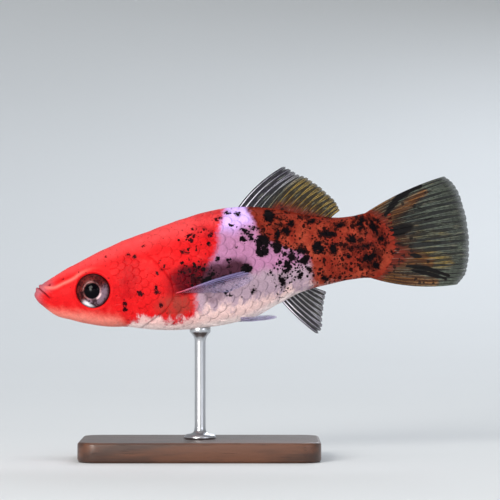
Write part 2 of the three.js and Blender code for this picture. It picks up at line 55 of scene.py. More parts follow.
body = {
    "end": 73.0,
    "tipHeight": -0.45,  # of the foremost point of the lower lip
    "noseRound": 0.7,
    "names": ("s", "top", "bottom", "half", "widest", "crown", "keel"),
    "stations": (  # crown and keel are how square the upper and lower halves are
        (0.0, 0.35, -1.3, 1.55, -0.45, 2.2, 2.1),
        (1.45, 1.38, -2.95, 2.25, -0.6, 2.3, 2.1),
        (3.5, 2.33, -5.0, 3.0, -0.7, 2.4, 2.1),
        (6.5, 3.6, -6.4, 3.85, -0.9, 2.5, 2.1),
        (12.0, 5.62, -8.5, 4.75, -1.2, 2.6, 2.1),
        (17.5, 7.28, -9.6, 5.55, -1.6, 2.3, 2.15),
        (24.0, 8.72, -11.27, 6.3, -2.2, 2.1, 2.2),
        (31.0, 10.1, -12.1, 6.7, -2.8, 2.0, 2.3),
        (38.0, 10.98, -12.1, 6.55, -2.8, 1.95, 2.3),
        (43.0, 10.85, -11.55, 5.85, -2.2, 1.95, 2.2),
        (48.0, 9.95, -9.75, 4.85, -1.2, 2.0, 2.1),
        (53.0, 8.42, -8.1, 3.85, -0.7, 2.0, 2.0),
        (58.0, 6.62, -7.5, 3.1, -0.7, 2.1, 2.1),
        (63.5, 5.58, -7.18, 2.5, -0.8, 2.2, 2.2),
        (68.0, 5.62, -7.5, 1.75, -0.9, 2.3, 2.3),
        (73.0, 5.9, -7.9, 0.9, -1.0, 2.4, 2.4),
    ),
    "eye": (11.95, -1.27),
    "eyeRadius": 3.4,
    "mouth": ((0.2, 2.0), (1.15, 0.95), (2.4, -0.5), (3.3, -1.7)),
    "gill": ((19.2, 10.5), (20.6, 7.2), (25.3, 2.4), (27.8, -2.6), (26.6, -6.6), (22.0, -9.3),
             (15.5, -12.5)),
    "cheek": ((20.4, 4.0), (18.3, 1.2), (17.4, -2.2), (17.9, -5.2), (20.2, -7.6), (23.2, -8.6)),
    "brow": ((1.6, 1.1), (4.1, 0.5), (6.1, 1.0), (8.2, 1.6), (10.2, 2.6), (12.4, 3.1), (15.5, 3.0)),
    "nape": 18.3,
    "nostrils": ((3.4, 1.25, 0.27), (6.3, 2.0, 0.25)),  # s, z, radius
    "nostrilLong": 1.25,  # longer than high
    "fleshEnd": (71.8, 0.085, -1.0),  # its s, its curve, and the height that it is furthest back at
    "thinning": (-3.2, 1.3),  # s from that end, over which the flesh thins out
    "thinnest": 0.015,
}


# Curves and numbers

def fair(points):  # a smooth function through [x, value] pairs
    xs, ys = (np.array(column, float) for column in zip(*points))
    steps = np.diff(xs)
    rises = np.diff(ys) / steps
    slopes = np.concatenate((rises[:1], rises[:-1] * steps[1:] + rises[1:] * steps[:-1], rises[-1:]))
    slopes[1:-1] /= steps[1:] + steps[:-1]

    def at(x):
        i = np.clip(np.searchsorted(xs, x) - 1, 0, len(xs) - 2)
        t = np.clip((x - xs[i]) / steps[i], 0, 1)
        ends = ys[i] * (2 * t**3 - 3 * t**2 + 1) + ys[i + 1] * (3 * t**2 - 2 * t**3)
        return ends + steps[i] * (slopes[i] * (t**3 - 2 * t**2 + t) + slopes[i + 1] * (t**3 - t**2))

    return at


def spline(points, t):  # a curve through points, at t from 0 to 1
    knots = np.array(points, float)
    last = len(knots) - 1
    place = np.clip(np.asarray(t, float), 0, 1) * last
    i = np.minimum(place.astype(int), last - 1)
    w = (place - i)[..., None]
    a, b = knots[np.maximum(i - 1, 0)], knots[i]
    c, d = knots[i + 1], knots[np.minimum(i + 2, last)]
    enter, leave = (c - a) / 2, (d - b) / 2
    return ((2 * b - 2 * c + enter + leave) * w**3
            + (3 * c - 3 * b - 2 * enter - leave) * w**2 + enter * w + b)


def smooth(x, low, high):
    t = np.clip((x - low) / (high - low), 0, 1)
    return t * t * (3 - 2 * t)


def bell(x, width):
    return np.exp(-(x / width) ** 2)


def mix(a, b, t):
    return a + (b - a) * t


def nearCurve(points, s, z, count=40):  # distance to a curve, side of it, and how far along
    line = spline(points, np.linspace(0, 1, count))
    best = np.full(np.shape(s), np.inf)
    side = np.zeros(np.shape(s))
    along = np.zeros(np.shape(s))
    for k in range(count - 1):
        (ax, az), (bx, bz) = line[k], line[k + 1]
        dx, dz = bx - ax, bz - az
        t = np.clip(((s - ax) * dx + (z - az) * dz) / (dx * dx + dz * dz), 0, 1)
        gap = np.hypot(s - ax - t * dx, z - az - t * dz)
        closer = gap < best
        best = np.where(closer, gap, best)
        side = np.where(closer, np.sign(dx * (z - az) - dz * (s - ax)), side)
        along = np.where(closer, (k + t) / (count - 1), along)
    return best, side, along


def ripple(s, y, z, size, seed):  # cheap smooth unevenness, about -1 to 1
    turn = np.random.default_rng(seed).uniform(0, 2 * math.pi, (4, 3))
    total = 0
    for k, (a, b, c) in enumerate(turn):
        step = 2 * math.pi / size * (0.8 + 0.35 * k)
        total = total + np.sin(step * (s * math.cos(a) + z * math.sin(a)) + b) * np.sin(
            step * (y * math.cos(b) + z * math.sin(c)) + c)
    return total / 2


# The body's surface

shape = {name: fair([(row[0], row[k]) for row in body["stations"]])
         for k, name in enumerate(body["names"]) if name != "s"}


def section(s):
    inward = np.clip(s / body["noseRound"], 0, 1)
    rounded = np.sqrt(1 - (1 - inward) ** 2)
    tip = body["tipHeight"]
    c = {name: curve(s) for name, curve in shape.items()}
    for name in ("top", "bottom", "widest"):
        c[name] = mix(tip, c[name], rounded)
    c["half"] = c["half"] * rounded
    return c


def bodyPoint(s, angle):  # angle 0 is the fish's right side, 90 degrees its back
    c = section(s)
    cos, sin = np.cos(angle), np.sin(angle)
    power = 2 / np.where(sin >= 0, c["crown"], c["keel"])
    reach = np.where(sin >= 0, c["top"] - c["widest"], c["widest"] - c["bottom"])
    y = c["half"] * np.sign(cos) * np.abs(cos) ** power
    z = c["widest"] + reach * np.sign(sin) * np.abs(sin) ** power
    return s + 0 * y, y, z


def sideAt(s, z):  # how far out the side of the body is at a height
    c = section(s)
    above = z > c["widest"]
    share = np.where(above, (z - c["widest"]) / (c["top"] - c["widest"]),
                     (c["widest"] - z) / (c["widest"] - c["bottom"]))
    power = np.where(above, c["crown"], c["keel"])
    return c["half"] * np.maximum(0, 1 - np.clip(share, 0, 1) ** power) ** (1 / power)


def tailArc(z):  # where the flesh ends and the tail fin begins
    end, curve, height = body["fleshEnd"]
    return end - curve * (z - height) ** 2


def fleshLeft(s, z):  # 1 in the body, 0 where it has run out in the tail fin
    return 1 - smooth(s - tailArc(z), *body["thinning"])


def bodyGrid(rings, turns):  # turns are shares of the way round from the belly
    angles = np.radians(np.linspace(-90, 270, 361))
    s, y, z = (np.zeros((len(rings), len(turns))) for _ in range(3))
    for i, ring in enumerate(rings):
        _, edgeY, edgeZ = bodyPoint(np.full(angles.shape, ring), angles)
        way = np.concatenate(([0], np.cumsum(np.hypot(np.diff(edgeY), np.diff(edgeZ)))))
        angle = np.interp(turns % 1 * way[-1], way, angles)
        s[i], y[i], z[i] = bodyPoint(np.full(angle.shape, ring), angle)
    return np.stack((s, y * mix(body["thinnest"], 1.0, fleshLeft(s, z)), z), -1)


def fromEye(s, z):
    return np.hypot(s - body["eye"][0], z - body["eye"][1])


def nostrilGaps(s, z):  # the distance to each nostril's middle, and its radius
    for centreS, centreZ, radius in body["nostrils"]:
        yield np.hypot((s - centreS) / body["nostrilLong"], z - centreZ), radius


def nearMouth(s, z):  # distance, how far along, and 1 where the mouth is
    gap, _, along = nearCurve(body["mouth"], s, z)
    return gap, along, (1 - smooth(along, 0.8, 1.0)) * (s < 5)


def outwardOf(grid):
    alongS = np.gradient(grid, axis=0)
    alongTurn = np.gradient(grid, axis=1)
    normal = np.cross(alongTurn, alongS)
    return normal / np.maximum(np.linalg.norm(normal, axis=-1, keepdims=True), 1e-9)


turnedDown = math.radians(pose["noseDown"])
bellyZ = float(shape["bottom"](pose["rodAt"]))
startX = -(pose["rodAt"] * math.cos(turnedDown) - bellyZ * math.sin(turnedDown))
startZ = pose["bellyHeight"] - (pose["rodAt"] * math.sin(turnedDown) + bellyZ * math.cos(turnedDown))


def swayAt(s):  # how far the tail's bend has gone to the fish's right
    past = np.maximum(0, s - pose["swayStart"]) / (pose["length"] - pose["swayStart"])
    return pose["sway"] * past**2


def placed(points):  # from the fish's own axes to the frame, in metres
    s, y, z = np.moveaxis(np.asarray(points, float), -1, 0)
    x = s * math.cos(turnedDown) - z * math.sin(turnedDown) + startX
    up = s * math.sin(turnedDown) + z * math.cos(turnedDown) + startZ
    return np.stack((x, y + swayAt(s), up), -1) * mm


def fishAxes(points):  # and back, for markings on a finished mesh
    x, y, up = np.moveaxis(np.asarray(points, float) / mm, -1, 0)
    x, up = x - startX, up - startZ
    s = x * math.cos(turnedDown) + up * math.sin(turnedDown)
    return s, y - swayAt(s), up * math.cos(turnedDown) - x * math.sin(turnedDown)


# Meshes

def linked(name, data):  # a new object in the scene
    made = bpy.data.objects.new(name, data)
    bpy.context.scene.collection.objects.link(made)
    return made


def newPiece(name, points, faces, material=None, edges=()):
    mesh = bpy.data.meshes.new(name)
    mesh.from_pydata([tuple(p) for p in np.asarray(points).reshape(-1, 3)], edges, faces)
    mesh.update()
    mesh.shade_smooth()
    if material:
        mesh.materials.append(material)
    return linked(name, mesh)


def paintOn(mesh, name, values):  # a number at each vertex, for a material to read
    layer = mesh.attributes.new(name, "FLOAT", "POINT")
    layer.data.foreach_set("value", np.asarray(values, np.float32).ravel())


def vectorsOn(mesh, name, values):
    layer = mesh.attributes.new(name, "FLOAT_VECTOR", "POINT")
    layer.data.foreach_set("vector", np.asarray(values, np.float32).ravel())


def mapOn(mesh, name, values):  # a UV map from a pair at each face corner
    layer = mesh.uv_layers.new(name=name)
    layer.data.foreach_set("uv", np.asarray(values, np.float32).ravel())


def readAll(data, key, width=1, kind=np.float32):
    values = np.empty(len(data) * width, kind)
    data.foreach_get(key, values)
    return values.reshape(-1, width) if width > 1 else values


def placesOf(mesh):
    return readAll(mesh.vertices, "co", 3, float)


def cornersOf(mesh):
    return readAll(mesh.loops, "vertex_index", kind=int)


def turned(profile, steps):  # rings of points for a profile of radius and height
    turns = np.linspace(0, 2 * math.pi, steps, endpoint=False)
    return [(r * math.cos(a), r * math.sin(a), z) for r, z in profile for a in turns]


def gridFaces(rows, columns, closed=False):
    faces = []
    for i in range(rows - 1):
        for j in range(columns if closed else columns - 1):
            k = (j + 1) % columns
            faces.append((i * columns + j, i * columns + k, (i + 1) * columns + k, (i + 1) * columns + j))
    return faces


def faceOut(mesh):  # turns a closed shape's faces to look outwards
    bm = bmesh.new()
    bm.from_mesh(mesh)
    inward = bm.calc_volume(signed=True) < 0
    bm.free()
    if inward:
        mesh.flip_normals()


# Materials

def operator(operation, swapped=False):  # a method that puts one number node after a wire
    def method(self, other):
        pair = (other, self) if swapped else (self, other)
        return self.node("ShaderNodeMath", dict(enumerate(pair)), operation=operation)

    return method


class Wire:  # a socket that can be worked with as a number
    def __init__(self, tree, socket):
        self.tree = tree
        self.socket = socket

    def node(self, kind, inputs=None, output=0, **settings):
        made = self.tree.nodes.new(kind)
        for key, value in settings.items():
            setattr(made, key, value)
        for key, value in (inputs or {}).items():
            if isinstance(value, Wire):
                self.tree.links.new(value.socket, made.inputs[key])
            else:
                made.inputs[key].default_value = value
        return Wire(self.tree, made.outputs[output])

    __add__ = __radd__ = operator("ADD")
    __mul__ = __rmul__ = operator("MULTIPLY")
    __sub__ = operator("SUBTRACT")
    __rsub__ = operator("SUBTRACT", swapped=True)
    __truediv__ = operator("DIVIDE")
    __rtruediv__ = operator("DIVIDE", swapped=True)
    most = operator("MAXIMUM")
    least = operator("MINIMUM")
    modulo = operator("MODULO")

    def math(self, operation):
        return self.node("ShaderNodeMath", {0: self}, operation=operation)

    def vectorMath(self, operation, *others, output=0):
        inputs = dict(enumerate((self, *others)))
        return self.node("ShaderNodeVectorMath", inputs, output, operation=operation)

    def part(self, k):  # x, y or z of a vector
        return self.node("ShaderNodeSeparateXYZ", {0: self}, k)

    def vector(self, y):  # this and y as a vector
        return self.node("ShaderNodeCombineXYZ", {0: self, 1: y, 2: 0.0})

    def ramp(self, low, high, start=0.0, end=1.0):  # a smooth step from low to high
        inputs = {"Value": self, "From Min": low, "From Max": high, "To Min": start, "To Max": end}
        return self.node("ShaderNodeMapRange", inputs, interpolation_type="SMOOTHSTEP")

    def ring(self, radius, sharpness):  # 1 at a radius, 0 away from it
        return (1 - ((self - radius) * sharpness).math("ABSOLUTE")).most(0.0).least(1.0)

    def tint(self, first, second):  # first where this is 0, second where it is 1
        inputs = {0: self, 6: asColour(first), 7: asColour(second)}
        return self.node("ShaderNodeMix", inputs, 2, data_type="RGBA", clamp_factor=True)

    def scaled(self, factor):  # a colour made lighter or darker, or a vector's length
        return self.node("ShaderNodeVectorMath", {0: self, "Scale": factor}, operation="SCALE")

    def noise(self, scale, detail=2.0, roughness=0.5, stretch=None):
        vector = self.vectorMath("MULTIPLY", stretch) if stretch else self
        inputs = {"Vector": vector, "Scale": scale, "Detail": detail, "Roughness": roughness}
        return self.node("ShaderNodeTexNoise", inputs)

    def cells(self, scale):
        return self.node("ShaderNodeTexVoronoi", {"Vector": self, "Scale": scale}, "Distance")

    def spots(self, scale, share, size):  # rounded uneven spots, in a share of the cells
        inputs = {"Vector": self, "Scale": scale * 1.6, "Detail": 3.0, "Roughness": 0.65}
        wobble = self.node("ShaderNodeTexNoise", inputs, "Color")
        away = wobble.vectorMath("MULTIPLY_ADD", (0.9 / scale,) * 3, self).cells(scale)
        chance = Wire(self.tree, away.socket.node.outputs["Color"])
        present = (share - chance.part(0)).ramp(0.0, 0.03)
        radius = chance.part(1) * size + size * 0.6
        return present * (radius - away).ramp(-0.07, 0.05)


def stirred(wire, *stirs):  # made uneven by noises, each with its weight
    for noise, weight in stirs:
        wire = wire + (noise - 0.5) * weight
    return wire


def layered(colour, look, *layers):  # colours of a look laid over each other
    for amount, name in layers:
        colour = amount.tint(colour, look[name])
    return colour


def asColour(value):
    return value if isinstance(value, Wire) else (*linear(value), 1.0)


def linear(rgb):  # colours are written as 0 to 255, as a picture has them
    return tuple((v / 255 / 12.92) if v <= 10 else ((v / 255 + 0.055) / 1.055) ** 2.4 for v in rgb)


def newMaterial(name):
    material = bpy.data.materials.new(name)
    material.use_nodes = True
    shader = material.node_tree.nodes["Principled BSDF"]
    place = Wire(material.node_tree, None).node("ShaderNodeTexCoord", output="Object")
    return material, shader, place


def painted(wire, name):  # what paintOn put on the mesh
    return wire.node("ShaderNodeAttribute", output="Fac", attribute_name=name)


socketNames = {
    "colour": "Base Color", "roughness": "Roughness", "metallic": "Metallic", "alpha": "Alpha",
    "coat": "Coat Weight", "coatRoughness": "Coat Roughness", "specular": "Specular IOR Level"}


def finishWith(shader, place, bumps=(), **values):
    tree = place.tree
    for key, value in values.items():
        socket = shader.inputs[socketNames[key]]
        if isinstance(value, Wire):
            tree.links.new(value.socket, socket)
        else:
            socket.default_value = asColour(value) if key == "colour" else value
    normal = {}
    for height, distance in bumps:  # each bump lies on the one before
        inputs = {"Height": height, "Distance": distance * mm, "Strength": 1.0, **normal}
        normal = {"Normal": place.node("ShaderNodeBump", inputs)}
    if normal:
        tree.links.new(normal["Normal"].socket, shader.inputs["Normal"])


# Markings: soft fields over the fish, which the skin's and the scales' material turn to colours

markings = {
    "redBlend": 2.4, "rustBlend": 2.5,  # mm from either side over which a border runs
    "blotchBlend": 1.2,
    # how far marks are moved along and up on the side that the picture doesn't show, and their waves
    "moved": ((1.6, 0.35, 0.9), (1.3, 0.28)),
    # where red ends at each height z, and where rust begins
    "redEnd": ((-13, 31.2), (-8, 31.8), (-5, 32.0), (-2.4, 33.4), (0.3, 35.4), (3.1, 37.4), (6, 38.2),
               (9, 39.6), (12, 40.2)),
    "rustStart": ((-12, 54.8), (-7, 54.9), (-3, 55.3), (-0.7, 54.8), (0.7, 52.4), (1.9, 50.0), (3.2, 47.6),
                  (4.6, 46.2), (7, 45.4), (12, 44.0)),
    "rear": (56.0, 70.0),
    "crown": (0.42, 1.05), "keel": (0.8, 0.97),  # as shares of the way from the middle to back or belly
    # painted shade behind the gill cover and above the pectoral fin: its front, rear and top here, and the
    # first spot on the next line
    "shadeFront": (23.0, 32.5), "shadeRear": (46.0, 40.5), "shadeTop": (-1.2, 2.6),
    # of these two spots, the first is more of that painted shade, the second a painted shadow behind the gill
    # cover's edge
    "shadeSpot": (35.4, -6.0, 2.8, 1.9), "gillShadowSpot": (27.6, -6.6, 5.5, 3.2),
    "cheek": (19.0, 4.0), "deepFlank": (27.0, 36.0), "jowlEnd": (15.0, 19.5), "snoutEnd": (0.5, 7.0),
    # height of the belly's pale edge along the fish
    "pale": ((0, -7.0), (7.3, -8.0), (12.2, -9.4), (15.5, -9.8), (18.4, -8.9), (20.3, -8.1), (22.7, -8.0),
             (25, -8.9), (28.5, -9.7), (31.0, -9.1), (33, -8.5), (38, -8.5), (44, -7.8), (50, -7.2),
             (58, -8.2), (75, -9.4)),
    # black blotches: s, z, half length, half height, and the tilt in degrees of those that have one
    "blotches": (
        (46.7, 2.9, 1.45, 1.4), (46.4, 1.1, 1.3, 1.0, -10), (48.8, 7.9, 1.1, 1.2, 20),
        (57.4, 0.3, 1.15, 1.2), (42.7, -1.7, 1.15, 1.0, 15), (57.9, -6.1, 0.8, 0.7), (62.5, 4.1, 0.75, 0.5),
        (59.9, 2.7, 1.4, 0.6, -12), (60.4, -0.6, 0.8, 1.1), (52.9, 5.8, 0.65, 0.7),
        (51.8, 4.5, 0.8, 0.6, 40), (49.9, 4.3, 0.5, 1.0, -15), (49.4, 1.6, 1.0, 1.2),
        (56.9, 5.6, 0.7, 0.45), (66.6, 3.8, 0.55, 1.2, -20), (69.1, 2.6, 0.5, 1.3, 15),
        (70.8, 4.1, 0.55, 0.4, 20), (64.5, 0.8, 0.75, 0.8), (65.8, -0.9, 2.2, 0.35),
        (67.2, -3.2, 1.5, 0.8, 15), (68.4, -5.1, 0.6, 0.8), (63.2, -2.3, 0.45, 0.45),
        (72.4, -2.9, 0.6, 0.6), (73.1, -5.8, 0.85, 0.4, -10), (70.2, 0.0, 0.5, 0.45), (53.9, 0.1, 0.9, 0.7),
        (54.4, -1.9, 0.9, 0.7, 20), (51.9, -0.7, 0.6, 1.1, -10), (50.7, -2.7, 0.7, 1.3, -20),
        (49.3, -5.2, 0.6, 1.1, 10), (55.1, -3.7, 0.45, 0.6), (52.8, -4.9, 0.5, 0.45),
        (43.5, 5.8, 0.4, 0.5, 30), (44.3, 5.0, 0.4, 0.7), (45.3, 6.0, 0.55, 0.35),
        (42.8, 4.2, 0.4, 0.35, 30), (44.4, 3.8, 0.4, 0.3), (42.7, 9.3, 0.5, 0.4), (40.5, 10.0, 0.6, 0.35),
        (41.2, 2.9, 0.35, 0.35), (39.4, 0.5, 0.52, 0.5), (39.5, -0.7, 0.36, 0.35), (38.1, -2.4, 0.42, 0.38),
        (37.3, 1.1, 0.45, 0.42), (34.6, -2.8, 1.6, 0.7, -6), (32.3, -2.3, 0.7, 0.8),
        (36.8, -3.1, 1.0, 0.45), (35.9, -1.7, 0.42, 0.38), (43.5, -6.3, 0.6, 0.6), (38.4, 9.0, 0.5, 0.3),
        (39.2, 9.1, 0.3, 0.3), (32.9, 6.5, 0.7, 0.35), (32.8, 5.6, 0.35, 0.45), (36.4, 5.9, 0.62, 0.42),
        (36.9, 6.4, 0.28, 0.5), (31.0, 3.7, 0.5, 0.42), (21.2, -3.3, 0.55, 0.52),
        (24.3, -3.0, 0.34, 0.62, -20), (24.9, -3.7, 0.42, 0.28), (26.3, 2.1, 0.46, 0.44),
        (26.1, 0.8, 0.6, 0.32, 35), (25.1, 0.3, 0.34, 0.3), (24.9, -6.1, 0.5, 0.4),
        (17.8, -4.8, 0.44, 0.42), (17.7, -6.0, 0.42, 0.4), (19.9, 4.7, 0.34, 0.3), (21.2, 4.2, 0.3, 0.32),
        (23.2, 6.0, 0.45, 0.24, 20), (15.5, 5.0, 0.3, 0.26),
    ),
    # where fine flecks are thick: s, z, half length, half height, thickness
    "flecks": (
        (44.0, 5.2, 2.6, 2.4, 0.8), (52.4, -1.4, 3.9, 4.4, 1.0), (49.4, -4.6, 2.8, 4.4, 0.85),
        (34.8, -2.6, 3.8, 2.0, 0.85), (40.5, -4.5, 5.0, 3.4, 0.2), (67.6, 3.2, 3.4, 2.8, 0.85),
        (67.0, -3.0, 3.8, 3.4, 0.95), (72.6, 0.4, 3.0, 5.6, 0.9), (60.5, 1.4, 4.2, 3.6, 0.75),
        (50.0, 4.6, 4.6, 4.6, 0.6), (57.6, -4.4, 4.5, 3.4, 0.4), (64.0, 0.0, 5.0, 5.6, 0.6),
        (41.5, 8.5, 2.5, 2.5, 0.3), (32.6, -0.4, 4.0, 2.8, 0.8), (33.0, 5.5, 5.0, 3.0, 0.25),
        (61.0, -4.6, 3.0, 2.6, 0.6), (56.0, 5.6, 5.0, 2.4, 0.5),
    ),
}


def ellipse(s, z, centreS, centreZ, length, height, tilt=0.0):  # 1 in the middle, 0 at the edge
    a = math.radians(tilt)
    along = (s - centreS) * math.cos(a) + (z - centreZ) * math.sin(a)
    across = (z - centreZ) * math.cos(a) - (s - centreS) * math.sin(a)
    return 1 - np.hypot(along / length, across / height)


def markFields(points):  # the fields at points of a finished mesh
    s, y, z = fishAxes(points)
    right = smooth(y, -0.6, 0.6)
    (farS, waveS, startS), (farZ, waveZ) = markings["moved"]
    sideS = s + right * farS * np.sin(waveS * z + startS)
    sideZ = z + right * farZ * np.sin(waveZ * s)
    redEnd, rustStart, paleEdge = (fair(markings[name]) for name in ("redEnd", "rustStart", "pale"))
    redBlend, rustBlend = markings["redBlend"], markings["rustBlend"]
    widest = shape["widest"](s)
    softer = 2.0 + 1.4 * smooth(s - redEnd(z), -1.0, 3.0)  # below the lilac than below the red
    deepest = np.full(s.shape, -2.0)  # mm inside the nearest blotch's edge
    for mark in markings["blotches"]:
        deepest = np.maximum(deepest, ellipse(sideS, sideZ, *mark) * min(mark[2:4]))
    fleck = np.zeros(s.shape)
    for *where, thickness in markings["flecks"]:
        fleck = np.maximum(fleck, thickness * smooth(ellipse(sideS, sideZ, *where), -0.1, 0.4))
    overFin = z + 4.7 - 0.133 * (s - 28)  # above the pectoral fin
    # painted shade behind the gill cover, above the pectoral fin; a spot of it lower down is added below
    axillaShade = (1 - smooth(z, *markings["shadeTop"])) * smooth(overFin, -1.6, 0.4)
    axillaShade = axillaShade * smooth(s, *markings["shadeFront"]) * smooth(s, *markings["shadeRear"])
    middle, width = markings["cheek"]
    cheek = bell(s - middle - 0.25 * (z + 1), width) * smooth(z, -6.5, -3.0) * smooth(6.5 - z, 0, 3)
    gap, _, along = nearCurve(body["brow"], s, z)
    return {
        "red": smooth(redEnd(z) - sideS, -redBlend, redBlend),
        "rust": smooth(sideS - rustStart(z), -rustBlend, rustBlend),
        "rear": smooth(s, *markings["rear"]),
        "pale": smooth((paleEdge(s) - z) / softer, -1.0, 1.0),
        "belly": smooth(-2.2 - z, -1.8, 3.0),
        "black": np.clip(0.5 + deepest / markings["blotchBlend"], 0, 1),
        "fleck": fleck * smooth(np.abs(y) + z * 0.1, 0.0, 0.6),
        "axillaShade": np.maximum(axillaShade, 0.5 * smooth(ellipse(s, z, *markings["shadeSpot"]), -0.3, 0.6)),
        "deep": np.maximum(cheek * 0.9, 0.8 * smooth(s, *markings["deepFlank"])),
        "crown": smooth((z - widest) / (shape["top"](s) - widest), *markings["crown"]),
        # the belly's lowest edge, painted lighter there as light from below
        "keel": smooth((z - widest) / (shape["bottom"](s) - widest), *markings["keel"]),
        "jowl": smooth(-2.8 - 0.28 * s - z, -1.8, 2.2) * (1 - smooth(s, *markings["jowlEnd"])),
        "snout": ((1 - smooth(s, *markings["snoutEnd"])) * smooth(z + 0.1 * s, -0.9, 1.3)
                  + 0.8 * bell(s, 1.9)),
        "brow": bell(gap, 0.32) * smooth(along, 0.0, 0.12) * smooth(1 - along, 0.0, 0.5),
        # a painted shadow behind the gill cover's edge
        "gillShadow": smooth(ellipse(s, z, *markings["gillShadowSpot"]), -0.3, 0.9),
    }


def markUp(mesh):
    for name, values in markFields(placesOf(mesh)).items():
        paintOn(mesh, name, values)


skinLook = {
    # the salmon on the red and the lilac for the top are painted light from above, on the upper parts
    "red": (206, 22, 26), "redDark": (160, 8, 18), "litSalmon": (224, 68, 70), "maroon": (80, 2, 14),
    # of these, the brown one is a painted shadow behind the gill cover's edge
    "snout": (176, 92, 102), "brow": (240, 124, 112), "gillShadow": (150, 54, 46), "jowl": (232, 130, 116),
    # the grey on the next line, and the maroon above where it is not freckles, are painted shade behind the
    # pectoral fin
    "lilac": (168, 114, 149), "litLilacTop": (210, 177, 248), "shadeGrey": (66, 34, 48),
    # the palest cream, for the belly's lowest edge, is painted light from below
    "cream": (226, 192, 188), "keel": (255, 236, 232), "belly": (166, 142, 156),
    "rust": (122, 36, 24), "orange": (158, 64, 44), "dusky": (46, 8, 6), "umber": (34, 7, 6),
    "back": (110, 28, 16), "stalk": (158, 84, 66), "black": (8, 3, 6), "wine": (44, 3, 10),
    # painted shade in the mouth's slit and in the nostrils
    "mouth": (120, 20, 34),
    "roughness": 0.48, "coat": 0.01, "specular": 0.05,
}
skinNoises = (  # scale, detail, roughness and stretch
    (170, 3.0, 0.6), (420, 3.0, 0.6), (760, 4.0, 0.68), (1500, 3.0, 0.68), (3800, 2.0, 0.6),
    (620, 4.0, 0.7, (1.0, 1.0, 0.25)),
)


def fishColour(place):  # the colour, and how black it is
    look = skinLook
    clouds, coarse, blots, fine, grain, smears = (place.noise(*noise) for noise in skinNoises)

    def field(name, *stirs):
        return stirred(painted(place, name), *stirs)

    fleck, crown, low = field("fleck"), field("crown"), field("pale")
    red = field("red", (clouds, 0.5), (fine, 0.6)).ramp(0.2, 0.74)
    rust = field("rust", (clouds, 0.5), (blots, 0.7)).ramp(0.26, 0.74)
    ragged = (smears - 0.5) * 2.2 + (clouds - 0.5) * 0.6
    pale = (low + ragged * (low * 8).least(1.0)).ramp(0.2, 0.84)
    # painted shade behind the gill cover, above the pectoral fin
    axillaShade = field("axillaShade", (coarse, 0.7), (blots, 0.5))
    # lilac, greyed behind the pectoral fin by painted shade
    # lighter towards the back: painted light from above
    lilac = stirred(crown, (clouds, 0.6)).ramp(0.1, 0.7).tint(look["lilac"], look["litLilacTop"])
    lilac = layered(
        lilac, look,
        (field("belly", (coarse, 0.8)).ramp(0.1, 0.8), "belly"),
        (axillaShade.ramp(0.1, 0.95), "shadeGrey"))
    # rust, with dusky clouds
    cloudy = coarse * 0.6 + blots * 0.4 + fleck * 0.08 + field("rear") * 0.07
    rusty = layered(
        (clouds * 0.6 + coarse * 0.4).ramp(0.38, 0.62).tint(look["rust"], look["orange"]), look,
        ((crown * (blots + 0.2)).ramp(0.2, 0.9), "back"),
        ((low * (smears + 0.3)).ramp(0.1, 0.7), "stalk"),
        (cloudy.ramp(0.54, 0.66) * 0.8, "dusky"))
    # red
    freckle = place.spots(1300, crown * 0.06 + (clouds - 0.32) * 0.3, 0.22)
    redSkin = layered(
        # lighter towards the back: painted light from above
        stirred(crown, (clouds, 0.5)).ramp(0.1, 0.9).tint(look["red"], look["litSalmon"]), look,
        (field("deep", (coarse, 0.8)).ramp(0.45, 1.3), "redDark"),
        (field("jowl", (blots, 0.6)).ramp(0.0, 0.9), "jowl"),
        # painted shadow behind the gill cover's edge, broken into smears
        ((field("gillShadow") * (smears * 2.2 - 0.3)).ramp(0.1, 0.9), "gillShadow"),
        # painted shade behind the gill cover, in maroon
        (axillaShade.ramp(0.05, 0.85), "maroon"),
        (field("snout", (coarse, 0.3)).ramp(0.1, 1.05), "snout"),
        (field("brow") * 0.7, "brow"),
        ((grain * 0.5 + fine * 0.5).ramp(0.54, 0.66) * 0.45, "redDark"),
        (freckle * 0.7, "maroon"))
    # the cream belly, painted lighter along its lowest edge as light from below
    colour = (pale * (1 - rust * 0.6)).tint(
        rust.tint(lilac, rusty), field("keel").tint(look["cream"], look["keel"]))
    colour = (red * (1 - pale * 0.9)).tint(colour, redSkin)
    # black blotches with ragged edges, and spots that crowd in places
    edge = (fine - 0.5) * 1.4 + (grain - 0.5) * 0.5 + (blots - 0.5) * 1.1
    black = (field("black") + edge).ramp(0.44, 0.56)
    crowd = stirred(fleck + rust * 0.24, (coarse, 1.6), (clouds, 0.8))
    spotted = place.spots(920, crowd, 0.31).most(place.spots(2000, crowd * 0.8, 0.34))
    spotted = spotted * (fleck + rust).ramp(0.04, 0.2)
    velvet = (fine - 0.5) * 0.5 + (grain - 0.5) * 0.5 + (blots - 0.5) * 0.4 + 1
    halo = (field("black", (blots, 0.9)) + fleck * 0.12).ramp(0.2, 0.6) * (0.25 + rust * 0.4)
    colour = layered(colour.scaled(velvet), look, (halo, "dusky"))
    colour = spotted.tint(colour, rust.tint(look["black"], look["umber"]))
    return black.tint(colour, red.tint(look["black"], look["wine"])), black.most(spotted)


def skinMaterial():
    material, shader, place = newMaterial("skin")
    colour, dark = fishColour(place)
    # painted shade in the mouth's slit and the nostrils' pits
    colour = painted(place, "mouth").tint(colour, skinLook["mouth"])
    finishWith(shader, place, colour=colour, roughness=skinLook["roughness"] + dark * 0.1,
               coat=skinLook["coat"], coatRoughness=0.2, specular=skinLook["specular"],
               bumps=((place.cells(900), 0.02), (place.noise(1700, 3.0), 0.016)))
    return material


